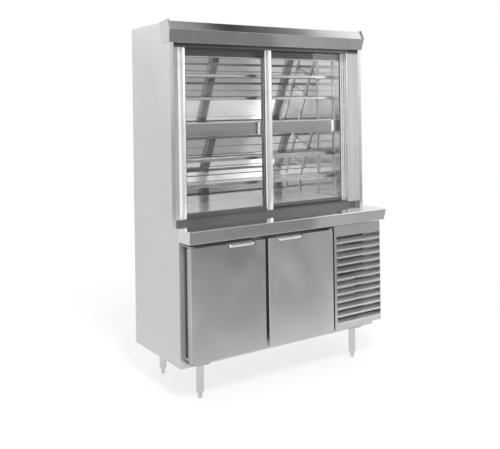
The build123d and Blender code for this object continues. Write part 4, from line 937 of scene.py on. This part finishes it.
# floor: white paper to the camera; in reflections it is lit paper with a dark board lying in front
floorValues = {
    "reach": 40.0, "rings": 23, "turns": 64, "sink": 0.0005, "fibreScale": 40.0, "paper": (0.8, 0.84),
    "rough": 0.9, "sheen": 0.1, "shadeTo": (1.2, 2.6), "lift": 0.72, "boardFrom": (-0.95, -1.35),
    "boardLeft": (-0.8, -0.5), "slant": 0.35, "mirroredPaper": 0.92, "board": 0.25, "nearest": 0.1,
    "rightAt": (3.0, 6.0), "rightEdge": (0.86, 0.64), "rightSoft": 0.04, "glossShare": 0.9,
}


def makeFloor(values):
    # a disc in polar steps: rings grow outwards, and each ring is a circle about the case
    count = values["turns"]
    rings = np.linspace(0.0, 1.0, values["rings"] + 1)[1:] ** 2 * values["reach"]
    turns = np.linspace(0, 2 * np.pi, count, endpoint=False)
    ringGrid, turnGrid = np.meshgrid(rings, turns, indexing="ij")
    points = np.stack([ringGrid * np.cos(turnGrid), ringGrid * np.sin(turnGrid), 0 * ringGrid], axis=-1)
    points = np.vstack([points.reshape(-1, 3), [[0, 0, 0]]]) - np.array([0, 0, values["sink"]])
    centre = [(len(points) - 1, step, (step + 1) % count) for step in range(count)]
    mesh = bpy.data.meshes.new("studioFloor")
    mesh.from_pydata(points.tolist(), [], gridQuads(values["rings"], count)[:, ::-1].tolist() + centre)
    floor = bpy.data.objects.new("studioFloor", mesh)
    bpy.context.scene.collection.objects.link(floor)
    tree, shader = startMaterial("floorPaper")
    place = addNode(tree, "TexCoord").outputs["Object"]
    fibres = addNode(tree, "TexNoise", {"Vector": place, "Scale": values["fibreScale"], "Detail": 4.0})
    paper = addMix(tree, fibres.outputs["Fac"], *(grey(level) for level in values["paper"]))
    tree.links.new(paper, shader.inputs["Base Color"])
    shader.inputs["Roughness"].default_value = values["rough"]
    shader.inputs["Specular IOR Level"].default_value = values["sheen"]
    # to the camera the paper is white, and keeps part of its shadow near the case
    seen = addNode(tree, "LightPath")
    distance = addNode(tree, "VectorMath", {0: place}, operation="LENGTH").outputs["Value"]
    fade = addRange(tree, distance, *values["shadeTo"], values["lift"], 1.0)
    clear = addMath(tree, "MAXIMUM", seen.outputs["Is Camera Ray"], seen.outputs["Is Transmission Ray"])
    white = addNode(tree, "Emission", {"Color": grey(1.0), "Strength": 1.0})
    whitened = addMath(tree, "MULTIPLY", clear, fade)
    lifted = addNode(tree, "MixShader", {0: whitened, 1: shader.outputs["BSDF"], 2: white.outputs[0]})
    # in reflections a dark board lies in front, with a slanted left edge and a right edge that runs
    # away from the case along a set ratio of x to depth
    apart = addNode(tree, "SeparateXYZ", {0: place})
    x, y = apart.outputs["X"], apart.outputs["Y"]
    far = addRange(tree, y, *values["boardFrom"])
    slant = addMath(tree, "ADD", x, addMath(tree, "MULTIPLY", y, values["slant"]))
    side = addRange(tree, slant, *values["boardLeft"])
    depth = addMath(tree, "MAXIMUM", addMath(tree, "MULTIPLY", y, -1.0), values["nearest"])
    edge = addRange(tree, depth, *values["rightAt"], *values["rightEdge"], False)
    beyond = addMath(tree, "SUBTRACT", addMath(tree, "DIVIDE", x, depth), edge)
    right = addMath(tree, "ADD", addRange(tree, beyond, -values["rightSoft"], values["rightSoft"]), 1.0)
    board = addMath(tree, "MULTIPLY", right, values["board"])
    tone = addMix(tree, addMath(tree, "MULTIPLY", far, side), grey(values["mirroredPaper"]), board)
    mirrored = addNode(tree, "Emission", {"Color": tone, "Strength": 1.0})
    share = addMath(tree, "MULTIPLY", seen.outputs["Is Glossy Ray"], values["glossShare"])
    final = addNode(tree, "MixShader", {0: share, 1: lifted.outputs[0], 2: mirrored.outputs[0]})
    tree.links.new(final.outputs[0], tree.nodes["Material Output"].inputs["Surface"])
    mesh.materials.append(bpy.data.materials["floorPaper"])


makeWorld(studio)
for key in ("key", "fill", "side"):
    makeLamp(key + "Lamp", studio[key])
makeFloor(floorValues)
print("studio lit")
